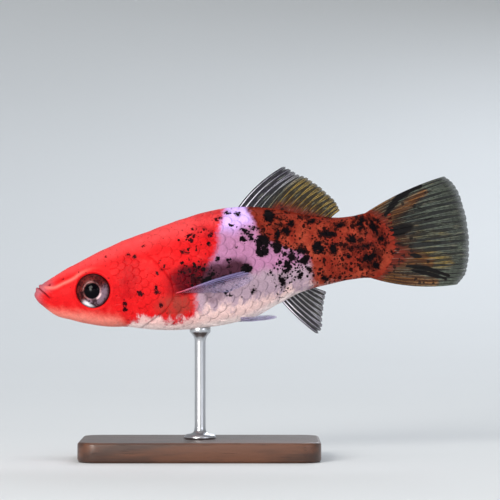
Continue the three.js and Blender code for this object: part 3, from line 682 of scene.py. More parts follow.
def scaleMaterial():
    material, shader, place = newMaterial("scales")
    colour, dark = fishColour(place)
    colour = colour.scaled(1 - painted(place, "rim") * 0.02).scaled(painted(place, "tone") * 0.04 + 0.98)
    rings = (painted(place, "rings") * 42).math("SINE")
    finishWith(shader, place, colour=colour, roughness=skinLook["roughness"] - 0.06 + dark * 0.1,
               coat=skinLook["coat"], coatRoughness=0.16, specular=skinLook["specular"],
               bumps=((rings, 0.0007), (place.noise(2200, 2.0), 0.01)))
    return material


# Skin: one closed surface from lips to tail, with the mouth, gill slits, sockets and nostrils in it

skin = {
    "rings": ((1.0, 44), (30.0, 226), (73.0, 178)),  # end of each stretch and its rings
    "around": 208,
    "under": 0.1,  # how far it lies below the solids where scales grow
    "bare": 0.03,  # and elsewhere
    "uneven": 0.035,
    "gillEdge": 0.17,  # how far the gill cover's edge stands up
    "gillSlit": 0.16,
    "cheekFold": 0.04,
    "lip": 0.22,
    "mouthDepth": 0.4,
    "mouthCorner": 0.1,
    "socket": 1.5,
    "lid": 0.12,  # the fold round the eye
    "browFold": 0.13,
    "browGroove": 0.09,  # below that fold
    "nostrilRim": 0.06,
    "nostrilDepth": 0.4,
    "napeGroove": 0.1,
}
coatEdge = {  # mm or s over which scales begin, from the line that each is named for
    "behindGill": (-1.4, 1.8), "beforeTail": (1.5, 2.9), "beforeGill": (1.3, 2.1), "pastEye": (1.0, 1.6),
    "brow": (0.0, 0.6), "browStart": (7.1, 9.1), "cheekStart": (14.0, 16.2), "throat": (-8.0, -6.4),
}


def bodyCoat(s, _, z):  # 1 where the body's scales grow
    gap, side = nearCurve(body["gill"], s, z)[:2]
    return smooth(gap * side, *coatEdge["behindGill"]) * smooth(tailArc(z) - s, *coatEdge["beforeTail"])


def headCoat(s, _, z):  # 1 where the head's smaller scales grow
    gap, side = nearCurve(body["gill"], s, z)[:2]
    before = smooth(-gap * side, *coatEdge["beforeGill"]) * (s < 28)
    clear = smooth(fromEye(s, z) - body["eyeRadius"], *coatEdge["pastEye"])
    aboveEye = smooth(z - 2.6 - 0.1 * (s - 12), *coatEdge["brow"]) * smooth(s, *coatEdge["browStart"])
    onCheek = smooth(s, *coatEdge["cheekStart"]) * smooth(z + 0.1 * (s - 15), *coatEdge["throat"])
    return before * clear * np.maximum(aboveEye, onCheek)


def fleshRelief(s, y, z):  # the level that the scales lie on
    coat = np.maximum(bodyCoat(s, y, z), headCoat(s, y, z))
    uneven = skin["uneven"] * ripple(s, y, z, 7.0, 3) * smooth(s, 2, 6)
    return uneven - mix(skin["bare"], skin["under"], coat)


def offMiddle(y):  # 0 on the middle plane, 1 on the fish's sides
    return np.clip(np.abs(y) / 2, 0, 1)


def coverShare(along, s, y):  # 1 along the free edge of the gill cover
    return offMiddle(y) * smooth(along, 0.12, 0.42) * (1 - smooth(along, 0.82, 0.97)) * (s > 14)


def coverRelief(s, y, z):  # the same, swelling towards the gill cover's edge
    gap, side, along = nearCurve(body["gill"], s, z)
    return fleshRelief(s, y, z) + coverShare(along, s, y) * (side < 0) * skin["gillEdge"] * bell(gap, 3.2)


def skinRelief(s, y, z):
    relief = coverRelief(s, y, z)
    gap, side, along = nearCurve(body["gill"], s, z)
    onCover = coverShare(along, s, y)
    relief -= onCover * (side < 0) * skin["gillEdge"] * bell(gap, 0.14)
    relief -= onCover * skin["gillSlit"] * bell(gap, np.where(side >= 0, 0.45, 0.1))
    gap, side, along = nearCurve(body["cheek"], s, z)
    ends = smooth(along, 0.02, 0.25) * smooth(1 - along, 0.02, 0.25) * offMiddle(y)
    relief += ends * skin["cheekFold"] * (bell(gap - 0.5, 0.5) * (side > 0) - bell(gap, 0.3))
    gap, along, there = nearMouth(s, z)
    relief += there * skin["lip"] * (bell(gap - 0.42, 0.3) - 0.25 * bell(gap - 1.05, 0.3))
    relief -= there * skin["mouthDepth"] * bell(gap, 0.1)
    relief -= (s < 9) * skin["mouthCorner"] * bell(gap, 0.25) * smooth(along, 0.75, 1.0)
    pastEye = fromEye(s, z) - body["eyeRadius"]
    relief += offMiddle(y) * skin["lid"] * bell(pastEye - 0.45, 0.32)
    relief -= skin["socket"] * (1 - smooth(pastEye, -0.5, 0.22))
    gap, side, along = nearCurve(body["brow"], s, z)
    fold = skin["browFold"] * bell(gap, 0.4) - skin["browGroove"] * bell(gap - 1.0, 0.5) * (side < 0)
    relief += smooth(along, 0.0, 0.2) * smooth(1 - along, 0.0, 0.4) * fold
    for gap, radius in nostrilGaps(s, z):
        relief += skin["nostrilRim"] * bell(gap - radius - 0.12, 0.12)
        relief -= skin["nostrilDepth"] * (1 - smooth(gap, radius - 0.16, radius + 0.06))
    return relief - skin["napeGroove"] * bell(s - body["nape"], 0.35) * smooth(z, 4.0, 6.0)


def reliefGrid(rings, turns, reliefAt=skinRelief):  # the places on a relief, and which way is out there
    grid = bodyGrid(rings, turns)
    normals = outwardOf(grid)
    s, _, z = np.moveaxis(grid, -1, 0)
    relief = reliefAt(*np.moveaxis(grid, -1, 0)) * smooth(s, 0.0, 0.25) * fleshLeft(s, z)
    return grid + normals * relief[..., None], normals


def ringPlaces():
    places, start = [], 0.0
    for k, (end, count) in enumerate(skin["rings"]):
        steps = np.arange(1, count + 1) / count
        places.append(start + (end - start) * (steps**2 if k == 0 else steps))
        start = end
    return np.concatenate(places)


def makeSkin():
    rings, around = ringPlaces(), skin["around"]
    spare = 2  # columns past the seam, for the slopes there
    turns = np.arange(-spare, around + spare) / around
    points = reliefGrid(rings, turns)[0][:, spare:-spare]
    s, _, z = np.moveaxis(bodyGrid(rings, turns[spare:-spare]), -1, 0)
    tip = (0.0, 0.0, body["tipHeight"])
    last = (body["end"] + 0.05, 0.0, float(section(np.array(body["end"]))["widest"]))
    flat = np.concatenate((points.reshape(-1, 3), [tip, last]))
    count = len(rings)
    faces = gridFaces(count, around, closed=True)
    nose, end = count * around, count * around + 1
    for j in range(around):
        k = (j + 1) % around
        faces.append((nose, k, j))
        faces.append((end, (count - 1) * around + j, (count - 1) * around + k))
    piece = newPiece("swordtailSkin", placed(flat), faces, skinMaterial())
    way = np.concatenate(([0], rings, [body["end"]])) / body["end"]
    unwrapAround(piece.data, count, around, way)
    markUp(piece.data)
    # painted shade along the mouth's slit and in the nostrils' pits
    gap, _, there = nearMouth(s, z)
    dark = bell(gap, 0.13) * there
    for away, radius in nostrilGaps(s, z):
        dark = np.maximum(dark, 1 - smooth(away, radius - 0.2, radius + 0.02))
    paintOn(piece.data, "mouth", np.concatenate((dark.ravel(), [0, 0])))
    return piece


def unwrapAround(mesh, count, around, way):  # along the fish is u, round it is v
    corners = cornersOf(mesh)
    ring, turn = np.divmod(corners, around)
    u, v = way[np.minimum(ring + 1, count)], turn / around
    faceOf = np.repeat(np.arange(len(mesh.polygons)), [len(f.vertices) for f in mesh.polygons])
    wraps = np.zeros(len(mesh.polygons), bool)
    np.logical_or.at(wraps, faceOf, (turn == around - 1) & (corners < count * around))
    v = np.where(wraps[faceOf] & (turn == 0), 1.0, v)
    pole = corners >= count * around
    u = np.where(pole, np.where(corners == count * around, 0.0, 1.0), u)
    v = np.where(pole, 0.5, v)
    mapOn(mesh, "OFBake", np.stack((0.002 + 0.996 * u, 0.002 + 0.996 * v), -1))


# Geometry Nodes

class Tree:  # a Geometry Nodes tree under construction
    def __init__(self, name, inputs):
        self.group = bpy.data.node_groups.new(name, "GeometryNodeTree")
        sockets = (("INPUT", "Geometry", "Geometry"), ("OUTPUT", "Geometry", "Geometry"),
                   *(("INPUT", label, kind) for label, kind in inputs))
        for side, label, kind in sockets:
            self.group.interface.new_socket(label, in_out=side, socket_type="NodeSocket" + kind)
        self.entry = self.group.nodes.new("NodeGroupInput")

    def given(self, label):
        return Wire(self.group, self.entry.outputs[label])

    def node(self, kind, inputs=None, output=0, **settings):
        return Wire(self.group, None).node(kind, inputs, output, **settings)

    def named(self, name, kind="FLOAT"):  # a value that the mesh carries
        return self.node("GeometryNodeInputNamedAttribute", {"Name": name}, data_type=kind)

    def stored(self, geometry, name, value, kind="FLOAT"):
        inputs = {"Geometry": geometry, "Name": name, "Value": value}
        return self.node("GeometryNodeStoreNamedAttribute", inputs, data_type=kind, domain="POINT")

    def shapeOf(self, label):
        inputs = {"Object": self.given(label)}
        return self.node("GeometryNodeObjectInfo", inputs, "Geometry", transform_space="ORIGINAL")

    def finish(self, geometry, label):  # realized, and in the material given
        solid = self.node("GeometryNodeRealizeInstances", {"Geometry": geometry})
        solid = self.node("GeometryNodeSetMaterial", {"Geometry": solid, "Material": self.given(label)})
        end = self.group.nodes.new("NodeGroupOutput")
        self.group.links.new(solid.socket, end.inputs["Geometry"])


def runTree(carrier, tree, values, name):  # the tree's result as a plain mesh on a new object
    modifier = carrier.modifiers.new(name, "NODES")
    modifier.node_group = tree.group
    sockets = {item.name: item.identifier for item in tree.group.interface.items_tree
               if item.in_out == "INPUT"}
    for label, value in values.items():
        modifier[sockets[label]] = value
    evaluated = carrier.evaluated_get(bpy.context.evaluated_depsgraph_get())
    mesh = bpy.data.meshes.new_from_object(evaluated)
    mesh.name = name
    carrier.modifiers.remove(modifier)
    return linked(name, mesh)


def discard(piece):
    bpy.data.objects.remove(piece, do_unlink=True)


# Scales: thin plates in rows, laid on a bed that follows the body

coats = {
    "body": {
        "columns": 34, "rows": 24,  # rows are counted right round the fish
        "front": 17.0,  # s of the first column
        "spacing": (1.95, 1.42),  # mm from column to column, at the front and the rear
        "where": bodyCoat, "level": fleshRelief, "lift": 0.007, "seed": 11,
    },
    "head": {
        "columns": 16, "rows": 30, "front": 7.0, "spacing": (1.3, 1.4),
        "where": headCoat, "level": coverRelief, "lift": 0.004, "seed": 5,
    },
}
scale = {
    "front": -0.5, "rear": 1.22, "half": 0.58,  # in columns and rows
    "along": 7, "across": 7,  # vertices
    "clear": 0.006,  # mm above the skin at the least
    "droop": 0.003,  # mm that the side edges turn down
    "sink": 0.012,  # mm that the front edge dips, into the skin
    "thick": 0.004,
    "dip": 0.03,  # mm that the coat's border dips under the skin
    "calm": (66.0, 72.0),  # s between which they go flat
    "jitter": 0.05,
    "spare": 2,  # rows and columns of bed past the outermost scales
    "bed": (260, 340),  # vertices of the bed along the fish and round it
    "patch": 0.0035,  # width of a scale's place on the skin's map, where its root is
}


def columnPlace(coat, column):  # s of a column
    share = column / coat["columns"]
    return coat["front"] + column * mix(*coat["spacing"], share / 2)


def makeBed(coat):
    alongCount, aroundCount = scale["bed"]
    spare, rows = scale["spare"], coat["rows"]
    rings = columnPlace(coat, np.linspace(-spare, coat["columns"] + spare, alongCount))
    turns = np.linspace(-spare, rows + spare, aroundCount) / rows
    onBody = np.clip(rings, 0.5, body["end"] + 0.8)
    grid, normals = reliefGrid(onBody, turns, coat["level"])
    grid[..., 0] += (rings - onBody)[:, None]
    grown = coat["where"](*np.moveaxis(grid, -1, 0))
    grid -= normals * (scale["dip"] * (1 - smooth(grown, 0.45, 1.0)))[..., None]
    bed = newPiece("scaleBed", placed(grid), gridFaces(alongCount, aroundCount))
    outward = placed(grid + normals) - placed(grid)
    outward /= np.maximum(np.linalg.norm(outward, axis=-1, keepdims=True), 1e-9)
    vectorsOn(bed.data, "outward", outward * mix(1, 0.25, smooth(grid[..., :1], *scale["calm"])))
    paintOn(bed.data, "coat", grown)
    across, down = np.meshgrid(np.linspace(0, 1, aroundCount), np.linspace(0, 1, alongCount))
    mapOn(bed.data, "bedMap", np.stack((down, across), -1).reshape(-1, 2)[cornersOf(bed.data)])
    along, around = np.meshgrid(rings / body["end"], turns, indexing="ij")
    vectorsOn(bed.data, "skinMap", np.stack((along, around, 0 * along), -1))
    return bed


def makePlate(coat):  # one scale, in columns and rows, its height in mm
    rows, columns = scale["along"], scale["across"]
    front, rear, half = scale["front"], scale["rear"], scale["half"]
    points, local = [], []
    for i in range(rows):
        for j in range(columns):
            share, aside = i / (rows - 1), 2 * j / (columns - 1) - 1
            bow = abs(aside) ** 2.3
            x = mix(front, rear - 0.66 * bow, share ** 0.9)
            y = aside * half * (0.9 + 0.1 * share)
            height = scale["clear"] + coat["lift"] * (x - front) / (rear - front)
            height -= scale["droop"] * bow + scale["sink"] * (i == 0)
            points.append((x, y, height))
            local.append((x, y, share))
    edge = rimOf(rows, columns)
    under = len(points)
    for v in edge:
        x, y, height = points[v]
        points.append((x, y, height - scale["thick"]))
        local.append(local[v])
    faces = gridFaces(rows, columns)
    for k, v in enumerate(edge):
        n = (k + 1) % len(edge)
        faces.append((edge[n], v, under + k, under + n))
    faces.append(tuple(under + k for k in reversed(range(len(edge)))))
    plate = newPiece("scalePlate", points, faces)
    for face in plate.data.polygons[(rows - 1) * (columns - 1):]:
        face.use_smooth = False
    vectorsOn(plate.data, "local", local)
    return plate


def rimOf(rows, columns):  # the vertices round a grid, in order
    return ([j for j in range(columns)] + [i * columns + columns - 1 for i in range(1, rows)]
            + [(rows - 1) * columns + j for j in range(columns - 2, -1, -1)]
            + [i * columns for i in range(rows - 2, 0, -1)])


def scaleTree():
    tree = Tree("scaleCoat", (
        ("Bed", "Object"), ("Plate", "Object"), ("Columns", "Int"), ("Rows", "Int"), ("Spare", "Float"),
        ("Jitter", "Float"), ("Seed", "Int"), ("Skin", "Material")))
    columns, rows, spare, jitter = (tree.given(label) for label in ("Columns", "Rows", "Spare", "Jitter"))
    grid = tree.node("GeometryNodeMeshGrid", {
        "Size X": columns - 1, "Size Y": rows - 1, "Vertices X": columns, "Vertices Y": rows})
    position = tree.node("GeometryNodeInputPosition")
    column = position.part(0) + (columns - 1) / 2
    row = position.part(1) + (rows - 1) / 2
    shifted = row + column.math("ROUND").modulo(2.0) * 0.5  # every other column by half a row
    points = tree.node("GeometryNodeSetPosition", {"Geometry": grid, "Position": column.vector(shifted)})
    bed, bedMap = tree.shapeOf("Bed"), tree.named("bedMap", "FLOAT_VECTOR")
    across = (position.part(1) + spare) / (rows + spare * 2)
    onMap = ((position.part(0) + spare) / (columns + spare * 2)).vector(across)

    def onBed(value, kind="FLOAT_VECTOR"):  # the bed's value below a place of the lattice
        return tree.node("GeometryNodeSampleUVSurface", {
            "Mesh": bed, "Value": value, "Source UV Map": bedMap, "Sample UV": onMap}, data_type=kind)

    def random(low, high, shift):
        inputs = {"Min": low, "Max": high, "Seed": tree.given("Seed") + shift}
        return tree.node("FunctionNodeRandomValue", inputs, "Value", data_type="FLOAT")

    bare = tree.node("FunctionNodeCompare", {0: onBed(tree.named("coat"), "FLOAT"), 1: 0.5},
                     data_type="FLOAT", operation="LESS_THAN")
    points = tree.node("GeometryNodeDeleteGeometry", {"Geometry": points, "Selection": bare})
    points = tree.stored(points, "tone", random(0.0, 1.0, 2))
    skinMap = tree.named("skinMap", "FLOAT_VECTOR")
    points = tree.stored(points, "root", onBed(skinMap), "FLOAT_VECTOR")
    turn = tree.node("ShaderNodeCombineXYZ", {2: random(jitter * -1, jitter, 0)})
    plates = tree.node("GeometryNodeInstanceOnPoints", {
        "Points": points, "Instance": tree.shapeOf("Plate"), "Rotation": turn,
        "Scale": random(1 - jitter * 0.6, 1 + jitter * 0.6, 1)})
    plates = tree.node("GeometryNodeRealizeInstances", {"Geometry": plates})
    raised = onBed(tree.named("outward", "FLOAT_VECTOR")).scaled(position.part(2) * mm)
    place = onBed(position).vectorMath("ADD", raised)
    tree.finish(tree.node("GeometryNodeSetPosition", {"Geometry": plates, "Position": place}), "Skin")
    return tree


def layCoat(coat, tree, material):
    bed, plate = makeBed(coat), makePlate(coat)
    carrier = newPiece("scaleCarrier", [(0, 0, 0)], [])
    piece = runTree(carrier, tree, {
        "Bed": bed, "Plate": plate, "Columns": coat["columns"], "Rows": coat["rows"],
        "Spare": float(scale["spare"]), "Jitter": scale["jitter"], "Seed": coat["seed"],
        "Skin": material}, "scaleCoat")
    for helper in (bed, plate, carrier):
        discard(helper)
    mesh = piece.data
    x, aside, share = takeVectors(mesh, "local").T
    root = takeVectors(mesh, "root")[:, :2]
    paintOn(mesh, "rim", smooth(share, 0.8, 1.0))
    paintOn(mesh, "rings", np.hypot(x + 0.2, aside * 1.2))
    root = np.stack((np.clip(root[:, 0], 0, 1), root[:, 1] % 1), -1) * 0.99 + 0.005
    reach = scale["rear"] - scale["front"]
    local = np.stack((x - scale["front"] - reach / 2, aside), -1) / reach * scale["patch"]
    mapOn(mesh, "OFBake", (root + local)[cornersOf(mesh)])
    return piece


def takeVectors(mesh, name):  # reads an attribute and removes it
    values = readAll(mesh.attributes[name].data, "vector", 3)
    mesh.attributes.remove(mesh.attributes[name])
    return values


def makeScales():
    tree, material = scaleTree(), scaleMaterial()
    laid = [layCoat(coat, tree, material) for coat in coats.values()]
    piece = laid[0]
    with bpy.context.temp_override(active_object=piece, selected_editable_objects=laid):
        bpy.ops.object.join()
    piece.name = piece.data.name = "swordtailScales"
    markUp(piece.data)
    return piece


# Eyes: a domed ball with a raised iris and a lens that bulges out of the pupil

eye = {
    "turn": 8.0,  # degrees forwards
    "out": 3.8,  # of the ball's middle plane from the middle of the head
    "profile": (  # radius, distance outwards
        (0.0, 1.78), (0.5, 1.75), (0.95, 1.66), (1.3, 1.52), (1.48, 1.4), (1.54, 1.4), (1.62, 1.48),
        (1.74, 1.5), (1.95, 1.46), (2.3, 1.34), (2.7, 1.13), (3.1, 0.86), (3.35, 0.58), (3.45, 0.2),
        (3.4, -0.4), (2.9, -1.0), (1.6, -1.5), (0.0, -1.6)),
    "steps": 96,
    "dial": 8.0,  # mm that the map of the iris is wide
    "pupil": (1.52, 1.58),  # from its edge's inside to its outside
    "ring": (1.76, 5.0),  # radius and sharpness of the pale ring round it
    # radius and sharpness of a painted highlight by the pupil
    "sparkHighlight": (1.86, 3.4),
    "margin": (2.85, 3.35),
    "colours": {
        # the glint on this line is a painted highlight on the silver iris
        "silver": (54, 34, 42), "silverPale": (126, 102, 116), "glint": (236, 232, 240),
        "copper": (38, 4, 8), "copperPale": (100, 32, 30), "ring": (196, 140, 138),
        # the spark on this line is a painted highlight by the pupil
        "sparkHighlight": (244, 206, 208), "margin": (44, 8, 12), "pupil": (3, 1, 4)},
}


def irisMaterial():
    material, shader, place = newMaterial("eye")
    look = eye["colours"]
    centred = place.node("ShaderNodeUVMap", uv_map="dial").vectorMath("SUBTRACT", (0.5, 0.5, 0.0))
    out = centred.vectorMath("LENGTH", output="Value") * eye["dial"]
    ahead, up = (centred.part(k) * eye["dial"] for k in (0, 1))
    mottle, fine = place.noise(700, 3.0, 0.6), place.noise(2400, 2.0, 0.6)
    # a painted highlight on the lower front of the silver iris
    glint = stirred(0 - up * 0.85 - ahead * 0.75, (mottle, 1.4)).ramp(2.3, 3.1)
    silver = stirred(mottle, (fine, 0.5)).ramp(0.36, 0.64).tint(look["silver"], look["silverPale"])
    copper = (mottle * 0.5 + fine * 0.5).ramp(0.4, 0.62).tint(look["copper"], look["copperPale"])
    brown = stirred(up - ahead * 0.55, (mottle, 1.8)).ramp(-1.6, 0.1)
    # towards the lower rear, where the painted highlight by the pupil lies
    toward = ((ahead * 0.7 - up * 0.7) / out).ramp(0.86, 0.98)
    pupil = 1 - stirred(out, (fine, 0.03)).ramp(*eye["pupil"])
    colour = layered(
        brown.tint(glint.tint(silver, look["glint"]), copper), look,
        (out.ring(*eye["ring"]) * (0.28 + (mottle - 0.5) * 1.8), "ring"),
        # a painted highlight by the pupil
        (out.ring(*eye["sparkHighlight"]) * toward * 0.9, "sparkHighlight"),
        (stirred(out, (mottle, 0.4)).ramp(*eye["margin"]) * 0.85, "margin"),
        (pupil, "pupil"))
    finishWith(shader, place, colour=colour, roughness=0.36 - pupil * 0.24, coat=0.07, coatRoughness=0.03,
               specular=0.05, bumps=((mottle * (1 - pupil), 0.04),))
    return material


def makeEye(name, side, material):
    sign = -1 if side == "left" else 1
    turn = math.radians(eye["turn"])
    ahead, up, out = np.array(turned(eye["profile"], eye["steps"])).T
    s = body["eye"][0] + ahead * math.cos(turn) - out * math.sin(turn)
    y = eye["out"] + out * math.cos(turn) + ahead * math.sin(turn)
    faces = gridFaces(len(eye["profile"]), eye["steps"], closed=True)
    if sign < 0:
        faces = [tuple(reversed(face)) for face in faces]
    piece = newPiece(name, placed(np.stack((s, sign * y, body["eye"][1] + up), -1)), faces, material)
    dial = 0.5 + np.stack((ahead, up), -1) / eye["dial"]
    mapOn(piece.data, "dial", dial[cornersOf(piece.data)])
    closePoles(piece)
    return piece


def closePoles(piece):  # merges the rings of no size at the ends of a turned shape
    bm = bmesh.new()
    bm.from_mesh(piece.data)
    bmesh.ops.remove_doubles(bm, verts=bm.verts, dist=1e-7)
    bmesh.ops.dissolve_degenerate(bm, edges=bm.edges, dist=1e-8)
    bmesh.ops.recalc_face_normals(bm, faces=bm.faces)
    bm.to_mesh(piece.data)
    bm.free()


# Fins

def bodyLine(name, s, sink):  # a fin's root, sunk into the back or belly
    return s, float(shape[name](s)) + sink


fins = {
    "dorsalFin": {
        "node": "dorsal_fin", "rays": 15, "fork": (0.3, 0.6), "first": 2, "notch": 0.04, "stout": 0.85,
        "root": (bodyLine("top", 41.7, -1.6), bodyLine("top", 48.5, -1.6), bodyLine("top", 54.5, -1.4),
                 bodyLine("top", 60.0, -1.2)),
        "margin": ((53.4, 17.5), (55.7, 15.6), (58.0, 14.1), (60.4, 11.6), (62.4, 8.9), (63.0, 6.9)),
        "bow": ((0, 0.065), (0.5, 0.06), (1, 0.04)),
        "wave": lambda out, across: 0.9 * out**2 * np.sin(3.2 * across + 0.4),
    },
    "analFin": {
        "node": "anal_fin", "rays": 9, "fork": (0.4, 0.66), "first": 2, "notch": 0.05,
        "root": (bodyLine("bottom", 48.0, 1.6), bodyLine("bottom", 51.0, 1.5), bodyLine("bottom", 54.0, 1.3)),
        "margin": ((54.8, -17.0), (55.9, -15.6), (56.4, -13.2), (57.1, -10.7), (57.8, -8.7)),
        "bow": ((0, -0.035), (1, -0.01)),
        "wave": lambda out, across: -0.6 * out**2 * np.sin(2.6 * across + 0.5),
    },
    "tailFin": {
        "node": "tail_fin", "stout": 0.75, "rays": 22, "fork": (0.26, 0.5), "first": 1, "notch": 0.012,
        "root": ((66.6, 5.0), (69.4, 3.6), (70.8, -1.0), (69.0, -5.6), (65.8, -6.8)),
        "margin": ((84.9, 10.5), (86.9, 8.0), (87.9, 3.2), (88.0, -1.6), (87.3, -6.2), (86.0, -9.6),
                   (84.0, -11.4)),
        "bow": ((0, 0.04), (0.12, 0.03), (0.5, 0.0), (0.88, -0.03), (1, -0.06)),
        "wave": lambda out, across: 0.8 * out**2 * np.sin(5.2 * across - 0.6),
    },
}
membrane = {"half": 0.04, "margin": 0.013, "acrossPerRay": 8, "out": 54}
ray = {
    "root": 0.15, "tip": 0.035, "points": 56, "sides": 6, "end": 0.995,
    "joints": 16, "swell": 0.14,  # of its thickness at each joint
    "spread": (0.19, 0.095),  # of the first and the second fork, in rays
    "split": 0.3,  # thinner by this share beyond a fork
}


def medianPath(fin):
    bowAt = fair(fin["bow"])

    def path(out, across):
        a, b = spline(fin["root"], across), spline(fin["margin"], across)
        chord = b - a
        aside = np.stack((-chord[..., 1], chord[..., 0]), -1) * bowAt(across)[..., None]
        place = a + chord * out[..., None] + aside * (4 * out * (1 - out))[..., None]
        return np.stack((place[..., 0], fin["wave"](out, across), place[..., 1]), -1)

    return path


blade = {"round": 0.16, "longest": 0.75, "hinge": 0.3}  # of a paired fin, across it


def pairedPath(fin, sign):
    along = np.array(fin["axis"]) * (1, sign, 1)
    along = along / np.linalg.norm(along)
    over = np.array(fin["chord"]) * (1, sign, 1)
    over = over - along * over.dot(along)
    over /= np.linalg.norm(over)
    normal = np.cross(along, over)
    start = np.array(fin["base"]) * (1, sign, 1)
    widthAt = fair(fin["width"])

    def path(out, across):
        rounded = blade["round"] * (2 * across - blade["longest"]) ** 2
        end = fin["length"] * (1 - fin["rake"] * across**2 - rounded)
        return (start + along * (end * out)[..., None]
                + over * ((across - blade["hinge"]) * widthAt(out))[..., None]
                + normal * (sign * fin["cup"] * out * np.sin(math.pi * across))[..., None])

    return path, normal


def finSheet(name, fin, path, normal, material):
    columns = fin["rays"] * membrane["acrossPerRay"] + 1
    rows = membrane["out"]
    across, out = np.meshgrid(np.linspace(0, 1, columns), np.linspace(0, 1, rows))
    turns = 2 * math.pi * fin["rays"] * across
    onRay = 0.5 - 0.5 * np.cos(turns)
    uneven = 0.35 + 0.3 * np.sin(turns * 0.31 + 1) + 0.35 * np.cos(2 * turns)
    reach = out * (1 - fin["notch"] * ((1 - onRay) * 0.6 + uneven * 0.5))
    middle = path(reach, across)
    half = mix(membrane["half"], membrane["margin"], out) * (0.65 + 0.35 * onRay)
    upper = middle + normal * half[..., None]
    lower = middle - normal * half[..., None]
    size = rows * columns
    faces = gridFaces(rows, columns)
    faces += [tuple(size + v for v in reversed(face)) for face in faces]
    edge = rimOf(rows, columns)
    for a, b in zip(edge, edge[1:] + edge[:1]):
        faces.append((b, a, size + a, size + b))
    both = np.concatenate((upper.reshape(-1, 3), lower.reshape(-1, 3)))
    piece = newPiece(name, placed(both), faces, material)
    faceOut(piece.data)
    paintOn(piece.data, "across", np.tile(across.ravel(), 2))
    paintOn(piece.data, "out", np.tile(out.ravel(), 2))
    return piece


def rayLines(fin, path):  # each ray's middle line, forked twice on its way out
    lines = []
    spread = ray["spread"]
    for k in range(fin["rays"]):
        centre = (k + 0.5) / fin["rays"]
        single = k < fin["first"]
        forks = ((0, 0),) if single else ((-1, -1), (-1, 1), (1, -1), (1, 1))
        for first, second in forks:
            out = np.linspace(0, ray["end"], ray["points"])
            aside = (first * spread[0] * smooth(out, fin["fork"][0], 1.0)
                     + second * spread[1] * smooth(out, fin["fork"][1], 1.0)) / fin["rays"]
            across = np.clip(centre + aside, 0, 1)
            beat = np.cos(2 * math.pi * out * ray["joints"])
            joints = 1 + ray["swell"] * beat * smooth(out, 0.2, 0.4)
            split = 1 - (0 if single else ray["split"] * smooth(out, *fin["fork"]))
            radius = mix(ray["root"], ray["tip"], out**0.8) * split * joints * fin.get("stout", 1.0)
            lines.append((path(out, across), radius, across, out))
    return lines


def rayTree():
    tree = Tree("finRays", (("Sides", "Int"), ("Ray", "Material")))
    profile = tree.node("GeometryNodeCurvePrimitiveCircle", {
        "Resolution": tree.given("Sides"), "Radius": 1.0})
    rods = tree.node("GeometryNodeCurveToMesh", {
        "Curve": tree.node("GeometryNodeMeshToCurve", {"Mesh": tree.given("Geometry")}),
        "Profile Curve": profile, "Scale": tree.named("thick"), "Fill Caps": True})
    tree.finish(rods, "Ray")
    return tree


def finRays(name, lines, tree, material):
    places, radii, across, out = (np.concatenate(part) for part in zip(*lines))
    size = ray["points"]
    edges = [(start + k, start + k + 1) for start in range(0, len(places), size) for k in range(size - 1)]
    carrier = newPiece(name + "Lines", placed(places), [], edges=edges)
    for label, values in (("thick", radii * mm), ("across", across), ("out", out)):
        paintOn(carrier.data, label, values)
    piece = runTree(carrier, tree, {"Sides": ray["sides"], "Ray": material}, name)
    discard(carrier)
    piece.data.shade_smooth()
    return piece


finMarks = {  # on the tail fin: points, half width, strength
    "streak": (
        (((71.9, 4.6), (73.8, 6.6), (76.2, 8.3), (79.7, 9.2)), 0.7, 1.0),
        (((74.6, -6.2), (78.4, -7.2), (82.6, -9.4)), 0.45, 1.0),
        (((75.6, -7.2), (78.6, -8.4), (82.0, -9.9)), 0.4, 1.0),
        (((75.8, -4.1), (77.6, -4.7)), 0.5, 0.9), (((77.6, 5.4), (79.4, 4.8)), 0.22, 0.8),
        (((79.6, 2.4), (81.4, 2.7)), 0.22, 0.75), (((77.8, -1.8), (82.0, -2.6)), 0.5, 0.5),
        (((78.4, -5.7), (82.2, -6.9)), 0.4, 0.5), (((73.2, 3.4), (76.2, 4.6)), 1.2, 0.5),
        (((72.6, 1.0), (76.0, 1.4)), 1.9, 0.72), (((73.0, -1.6), (75.0, -1.8)), 0.9, 0.6),
    ),
    "tan": (
        (((71.0, 2.4), (75.5, 5.4), (80.4, 7.9)), 1.0, 1.0), (((70.0, 6.4), (75.0, 9.2)), 1.0, 0.9),
        (((67.2, -7.0), (72.6, -8.6), (79.5, -10.2)), 1.4, 0.9), (((72.0, -2.4), (79.4, -6.2)), 1.5, 0.9),
        (((71.0, -4.6), (76.0, -5.8)), 1.6, 0.9),
    ),
    "olive": ((((77.0, -4.6), (83.0, -6.6)), 1.8, 0.8), (((78.0, -0.6), (83.0, -1.0)), 1.6, 0.5)),
}


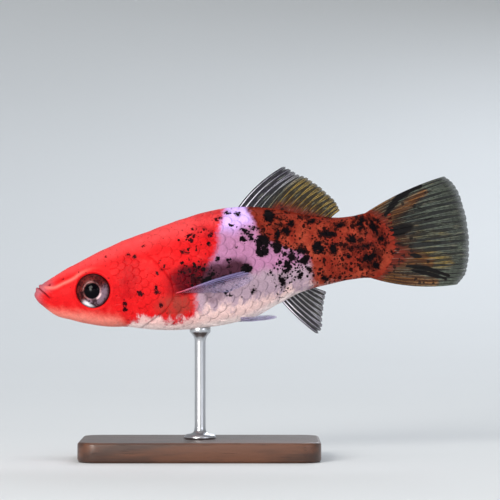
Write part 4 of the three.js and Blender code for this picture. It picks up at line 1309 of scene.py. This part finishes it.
def finFields(mesh, kind):
    s, _, z = fishAxes(placesOf(mesh))
    across, out = (readAll(mesh.attributes[name].data, "value") for name in ("across", "out"))
    fields = {name: np.zeros(s.shape) for name in (*finMarks, "rust", "veil", "lilac", "faint", "flesh")}
    if kind == "tailFin":
        for name, marks in finMarks.items():
            for points, half, strength in marks:
                gap, _, along = nearCurve(points, s, z, 12)
                taper = half * (0.45 + 0.55 * np.sin(math.pi * np.clip(along, 0.1, 0.9)))
                fields[name] = np.maximum(fields[name], strength * (1 - smooth(gap / taper, 0.1, 1.9)))
        fromFlesh = s - tailArc(z)
        reach = 2.4 + 4.4 * bell(z + 4.2, 2.0) + 2.2 * bell(z - 4.6, 1.2)  # of the body's colour
        fields["rust"] = 1 - smooth(fromFlesh / reach, 0.1, 1.2)
        fields["tan"] = np.maximum(fields["tan"], 0.75 * (1 - smooth(fromFlesh, 1.0, 8.0)))
    elif kind == "dorsalFin":
        fields["olive"] = smooth(across, 0.2, 0.42)
        fields["rust"] = (1 - smooth(out, 0.1, 0.45)) * smooth(across, 0.25, 0.4)
        fields["tan"] = 0.8 * (1 - smooth(out, 0.1, 0.8)) * smooth(across, 0.25, 0.5)
        fields["lilac"] = 1 - smooth(across, 0.12, 0.34)
    elif kind == "analFin":
        fields["lilac"] = 1 - 0.5 * smooth(across, 0.0, 0.6)
    elif kind == "pectoralFin":
        fields["veil"] += 1
        fields["faint"] = smooth(across, 0.06, 0.24)
        fields["flesh"] = 1 - smooth(out, 0.05, 0.5)
    else:
        fields["veil"] += 1
        fields["faint"] += 0.9
    for name, values in fields.items():
        paintOn(mesh, name, values)


finColours = {  # of the membranes and of the rays
    "clear": ((27, 29, 25), (112, 121, 108)), "olive": ((42, 34, 14), (170, 142, 74)),
    "tan": ((76, 44, 22), (146, 98, 52)), "rust": ((106, 32, 20), (126, 48, 32)),
    "lilac": ((34, 30, 42), (240, 236, 248)), "flesh": ((200, 38, 52), (230, 84, 98)),
    "veil": ((128, 114, 166), (190, 178, 222)),
}
finLook = {
    "thread": finColours["clear"][1],  # of the filaments in the membranes
    "black": (10, 7, 8), "dusk": (14, 12, 14), "far": (148, 146, 160),
    "alpha": (0.9, 0.96), "edge": (0.88, 0.94),  # at the root and at the margin
    "faint": (0.9, 0.66),  # how much of a faint fin is clear
}


def finMaterial(name, isRay):
    material, shader, place = newMaterial(name)
    look = {**finLook, **{key: pair[isRay] for key, pair in finColours.items()}}
    across, out = painted(place, "across"), painted(place, "out")
    filament = (across * 62).vector(out * 4).noise(1.0, 3.0, 0.6)
    blot, fine = place.noise(520, 3.0, 0.6), place.noise(1500, 3.0, 0.66)
    uneven = (filament - 0.5) * 2.2 + (blot - 0.5)

    def ragged(key, weight, low, high):
        return (painted(place, key) + uneven * weight).ramp(low, high)

    tan, rust = ragged("tan", 0.5, 0.0, 1.1), ragged("rust", 0.5, 0.1, 0.9)
    streak = ragged("streak", 0.5, 0.36, 0.7)
    lilac = painted(place, "lilac")
    layers = [(lilac, "lilac"), (tan, "tan"), (rust, "rust")]
    if isRay:
        layers.append((lilac * out.ramp(0.25, 0.9), "far"))
    layers += [(painted(place, "veil"), "veil"), (painted(place, "flesh"), "flesh"),
               (filament.ramp(0.34, 0.6, 0.15 if isRay else 0.6, 0.0), "dusk")]
    if not isRay:
        layers.append((filament.ramp(0.54, 0.7, 0.0, 0.5), "thread"))
    flecked = place.spots(1150, rust * 0.6 + tan * 0.36, 0.32)
    layers += [(flecked * 0.85, "black"), (streak, "black")]
    colour = layered(ragged("olive", 0.6, 0.1, 0.9).tint(look["clear"], look["olive"]), look, *layers)
    seen = out.ramp(0.1, 1.0, look["alpha"][isRay], look["edge"][isRay])
    seen = stirred(seen + tan * 0.2 + rust + streak * 0.4, (filament, 0.5))
    margin = stirred(out, (filament, 0.16)).ramp(0.9, 1.03, 1.0, 0.45)
    seen = seen * (1 - painted(place, "faint") * look["faint"][isRay]) * margin
    finishWith(shader, place, colour=colour, roughness=0.45 + fine * 0.1, alpha=seen.least(1.0),
               coat=0.03, coatRoughness=0.15, specular=0.12, bumps=((fine, 0.012),))
    return material


pairs = {
    "pectoralFin": {
        "node": "pectoral_fin", "rays": 12, "fork": (0.5, 0.78), "first": 1, "splay": (28.0, 32.0),
        "base": (27.6, float(sideAt(np.array(28.2), np.array(-4.6))) - 1.1, -4.6), "rise": 0.1,
        "chord": (0.1, -0.9, -0.42), "length": 19.2,
        "width": ((0, 1.9), (0.25, 3.6), (0.6, 6.6), (1, 7.4)), "rake": 0.3, "cup": 0.6, "stout": 0.75,
        "notch": 0.03,
    },
    "pelvicFin": {
        "node": "pelvic_fin", "rays": 7, "fork": (0.6, 0.8), "first": 1, "axis": (1, 0.14, -0.1),
        "base": (35.6, 1.7, -10.9), "chord": (0.05, -0.75, -0.3), "length": 12.2,
        "width": ((0, 1.3), (0.4, 2.1), (1, 2.9)), "rake": 0.25, "cup": 0.2, "stout": 0.65,
        "notch": 0.04,
    },
}


def makeFins():
    tree = rayTree()
    membraneLook, rayLook = finMaterial("finMembrane", False), finMaterial("finRay", True)
    made = []

    def makeFin(kind, side, node, fin, path, normal):
        name = kind + side
        sheet = finSheet(name + "Membrane", fin, path, normal, membraneLook)
        rods = finRays(name + "Rays", rayLines(fin, path), tree, rayLook)
        for piece in (sheet, rods):
            finFields(piece.data, kind)
            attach(piece, "root")
        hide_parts(node)
        made.append((sheet, rods))

    for kind, fin in fins.items():
        makeFin(kind, "", fin["node"], fin, medianPath(fin), np.array((0.0, 1.0, 0.0)))
    for kind, fin in pairs.items():
        for k, (side, sign) in enumerate((("Left", -1), ("Right", 1))):
            own = dict(fin)
            if "splay" in own:
                splay = math.radians(own["splay"][k])
                own["axis"] = (math.cos(splay), math.sin(splay), own["rise"])
            path, normal = pairedPath(own, sign)
            makeFin(kind, side, f"{fin['node']}_{side.lower()}", own, path, normal)
    return made


# Stand: a walnut board with a rounded edge, and a slim steel rod with a foot and a saddle

board = {"length": 48.0, "width": 28.0, "thick": 4.0, "corner": 4.0, "bevel": 0.6, "cornerSteps": 16}
rod = {"radius": 1.1, "foot": 3.2, "footThick": 0.9, "saddle": 2.1, "saddleThick": 2.0, "steps": 72}


def boardOutline(inset):
    x, y = board["length"] / 2 - inset, board["width"] / 2 - inset
    r = board["corner"] - inset
    outline = []
    for cx, cy, start in ((x - r, y - r, 0), (r - x, y - r, 90), (r - x, r - y, 180), (x - r, r - y, 270)):
        for k in range(board["cornerSteps"] + 1):
            a = math.radians(start + 90 * k / board["cornerSteps"])
            outline.append((cx + r * math.cos(a), cy + r * math.sin(a)))
    return outline


def makeBoard():
    bevel, thick = board["bevel"], board["thick"]
    layers = [(bevel * 1.4, 0.0), (bevel * 0.4, 0.1), (0.0, bevel)]
    layers += [(bevel * (1 - math.cos(a)), thick - bevel + bevel * math.sin(a))
               for a in np.radians(np.linspace(0, 90, 8))]
    points, count = [], 0
    for inset, height in layers:
        outline = boardOutline(inset)
        count = len(outline)
        points += [(x, y, height) for x, y in outline]
    faces = gridFaces(len(layers), count, closed=True)
    faces.append(tuple(reversed(range(count))))
    faces.append(tuple((len(layers) - 1) * count + k for k in range(count)))
    piece = newPiece("standBoard", np.array(points) * mm, faces, woodMaterial())
    for face in (piece.data.polygons[-1], piece.data.polygons[-2]):
        face.use_smooth = False
    return piece


def woodMaterial():
    material, shader, place = newMaterial("walnut")
    stretched = place.node("ShaderNodeMapping", {0: place, "Scale": (0.16, 1.0, 1.0)})
    rings = (stretched.noise(260, 4.0, 0.55) + place.noise(30, 2.0, 0.5) * 0.6) * 14
    bands = rings.math("SINE") * 0.5 + 0.5
    fibres = place.noise(5200, 3.0, 0.6, stretch=(0.035, 1.0, 1.0))
    pores = fibres.ramp(0.6, 0.72)
    colour = (bands * 0.7 + fibres * 0.4).tint((44, 24, 15), (96, 56, 34))
    colour = (pores * 0.7).tint(colour, (22, 11, 7))
    finishWith(shader, place, colour=colour, roughness=stirred(0.42 + pores * 0.25, (fibres, 0.1)),
               coat=0.25, coatRoughness=0.3, bumps=((1 - pores, 0.05), (fibres, 0.03)))
    return material


def steelMaterial():
    material, shader, place = newMaterial("brushedSteel")
    lines = place.noise(9000, 2.0, 0.6, stretch=(1.0, 1.0, 0.03))
    smear = place.noise(260, 2.0, 0.5)
    colour = smear.tint((176, 178, 182), (204, 205, 208))
    finishWith(shader, place, colour=colour, metallic=1.0, roughness=0.2 + lines * 0.16 + smear * 0.06,
               bumps=((lines, 0.006),))
    return material


def makeRod():
    low, belly = board["thick"] + 0.02, pose["bellyHeight"]
    radius, foot, saddle = rod["radius"], rod["foot"], rod["saddle"]
    top = low + rod["footThick"]
    profile = [(0, low), (foot - 0.15, low), (foot, low + 0.15), (foot, low + 0.5 * rod["footThick"]),
               (foot - 0.12, low + 0.72 * rod["footThick"]), (foot - 0.45, top),
               (radius + 0.75, top + 0.12), (radius + 0.3, top + 0.4), (radius + 0.08, top + 0.8),
               (radius, top + 1.5)]
    flare = rod["saddleThick"] + 0.6
    for share in np.linspace(0, 1, 10):
        profile.append((mix(radius, saddle - 0.1, share**2.2), belly - flare + (flare - 0.75) * share))
    profile += [(saddle, belly - 0.6), (saddle, belly + 0.2), (saddle - 0.1, belly + 0.34),
                (saddle - 0.35, belly + 0.38), (0, belly + 0.3)]
    faces = gridFaces(len(profile), rod["steps"], closed=True)
    piece = newPiece("standRod", np.array(turned(profile, rod["steps"])) * mm, faces, steelMaterial())
    closePoles(piece)
    return piece


# Stage, lights and camera

stage = {"flat": 0.3, "rim": 1.7, "height": 0.55, "steps": 96, "colour": (222, 225, 227)}


def makeStage():  # a floor that curves up all round, out of sight
    profile = [(0.0, 0.0), (0.15, 0.0), (stage["flat"], 0.0)]
    for share in np.linspace(0.05, 1, 20):
        profile.append((mix(stage["flat"], stage["rim"], share), stage["height"] * share**2.5))
    material, shader, place = newMaterial("stagePaper")
    colour = place.noise(6, 2.0).tint(stage["colour"], tuple(v - 4 for v in stage["colour"]))
    finishWith(shader, place, colour=colour, roughness=0.85, bumps=((place.noise(900, 2.0), 0.01),))
    faces = gridFaces(len(profile), stage["steps"], closed=True)
    piece = newPiece("stageFloor", turned(profile, stage["steps"]), faces, material)
    closePoles(piece)


lights = (  # name, place, size, power and colour; all are aimed at the fish
    ("keyLight", (-0.5, -0.95, 0.45), 0.5, 9.6, (255, 251, 244)),
    ("fillLight", (0.7, -0.8, 0.16), 0.6, 3.5, (244, 246, 255)),
    ("lowLight", (-0.25, -0.5, 0.08), 0.12, 0.8, (255, 250, 246)),
    ("topLight", (0.05, 0.0, 1.1), 0.6, 2.4, (255, 255, 255)),
    ("backLight", (0.3, 0.9, 0.6), 0.5, 3.0, (240, 246, 255)),
)


sky = {"colour": (236, 240, 244), "strength": 0.42}


def makeLights():
    target = Vector((0.01, 0, 0.04))
    for name, place, size, power, colour in lights:
        lamp = bpy.data.lights.new(name, "AREA")
        lamp.shape = "DISK"
        lamp.size = size
        lamp.energy = power
        lamp.color = linear(colour)
        holder = linked(name, lamp)
        holder.location = place
        holder.rotation_euler = (target - Vector(place)).to_track_quat("-Z", "Y").to_euler()
    world = bpy.data.worlds.new("studio")
    world.use_nodes = True
    background = world.node_tree.nodes["Background"]
    background.inputs["Color"].default_value = asColour(sky["colour"])
    background.inputs["Strength"].default_value = sky["strength"]
    bpy.context.scene.world = world
    bpy.context.scene.view_settings.view_transform = "Standard"


# The picture is 500 pixels wide and shows 100 mm at the fish, seen level from its left side
view = {"wide": 100.0, "centre": (9.97, 41.75), "away": 620.0, "sensor": 36.0}


def makeCamera():
    camera = bpy.data.cameras.new("camera")
    camera.sensor_width = view["sensor"]
    camera.lens = view["sensor"] * view["away"] / view["wide"]
    camera.clip_start, camera.clip_end = 0.01, 10
    holder = linked("camera", camera)
    x, z = view["centre"]
    holder.location = (x * mm, -view["away"] * mm, z * mm)
    holder.rotation_euler = (math.radians(90), 0, 0)
    bpy.context.scene.camera = holder


makeCamera()
makeStage()
makeLights()
print("stage, lights and camera made")

skinPiece = makeSkin()
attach(skinPiece, "root")
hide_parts("head", "lower_jaw", "gill_cover_left", "gill_cover_right", "trunk", "tail_stalk")
print("skin made:", len(skinPiece.data.polygons), "faces")

scalePiece = makeScales()
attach(scalePiece, "root")
print("scales made:", len(scalePiece.data.polygons), "faces")

irisLook = irisMaterial()
for sideName in ("left", "right"):
    eyePiece = makeEye("eye" + sideName.capitalize(), sideName, irisLook)
    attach(eyePiece, "root")
    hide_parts("eye_" + sideName, "pupil_" + sideName)
print("eyes made")

finPieces = makeFins()
print("fins made:", sum(len(piece.data.polygons) for pair in finPieces for piece in pair), "faces")

standParts = ((makeBoard(), "stand_base", "stand_wood"), (makeRod(), "stand_rod", "stand_metal"))
for standPiece, node, slot in standParts:
    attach(standPiece, "root")
    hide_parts(node)
print("stand made")
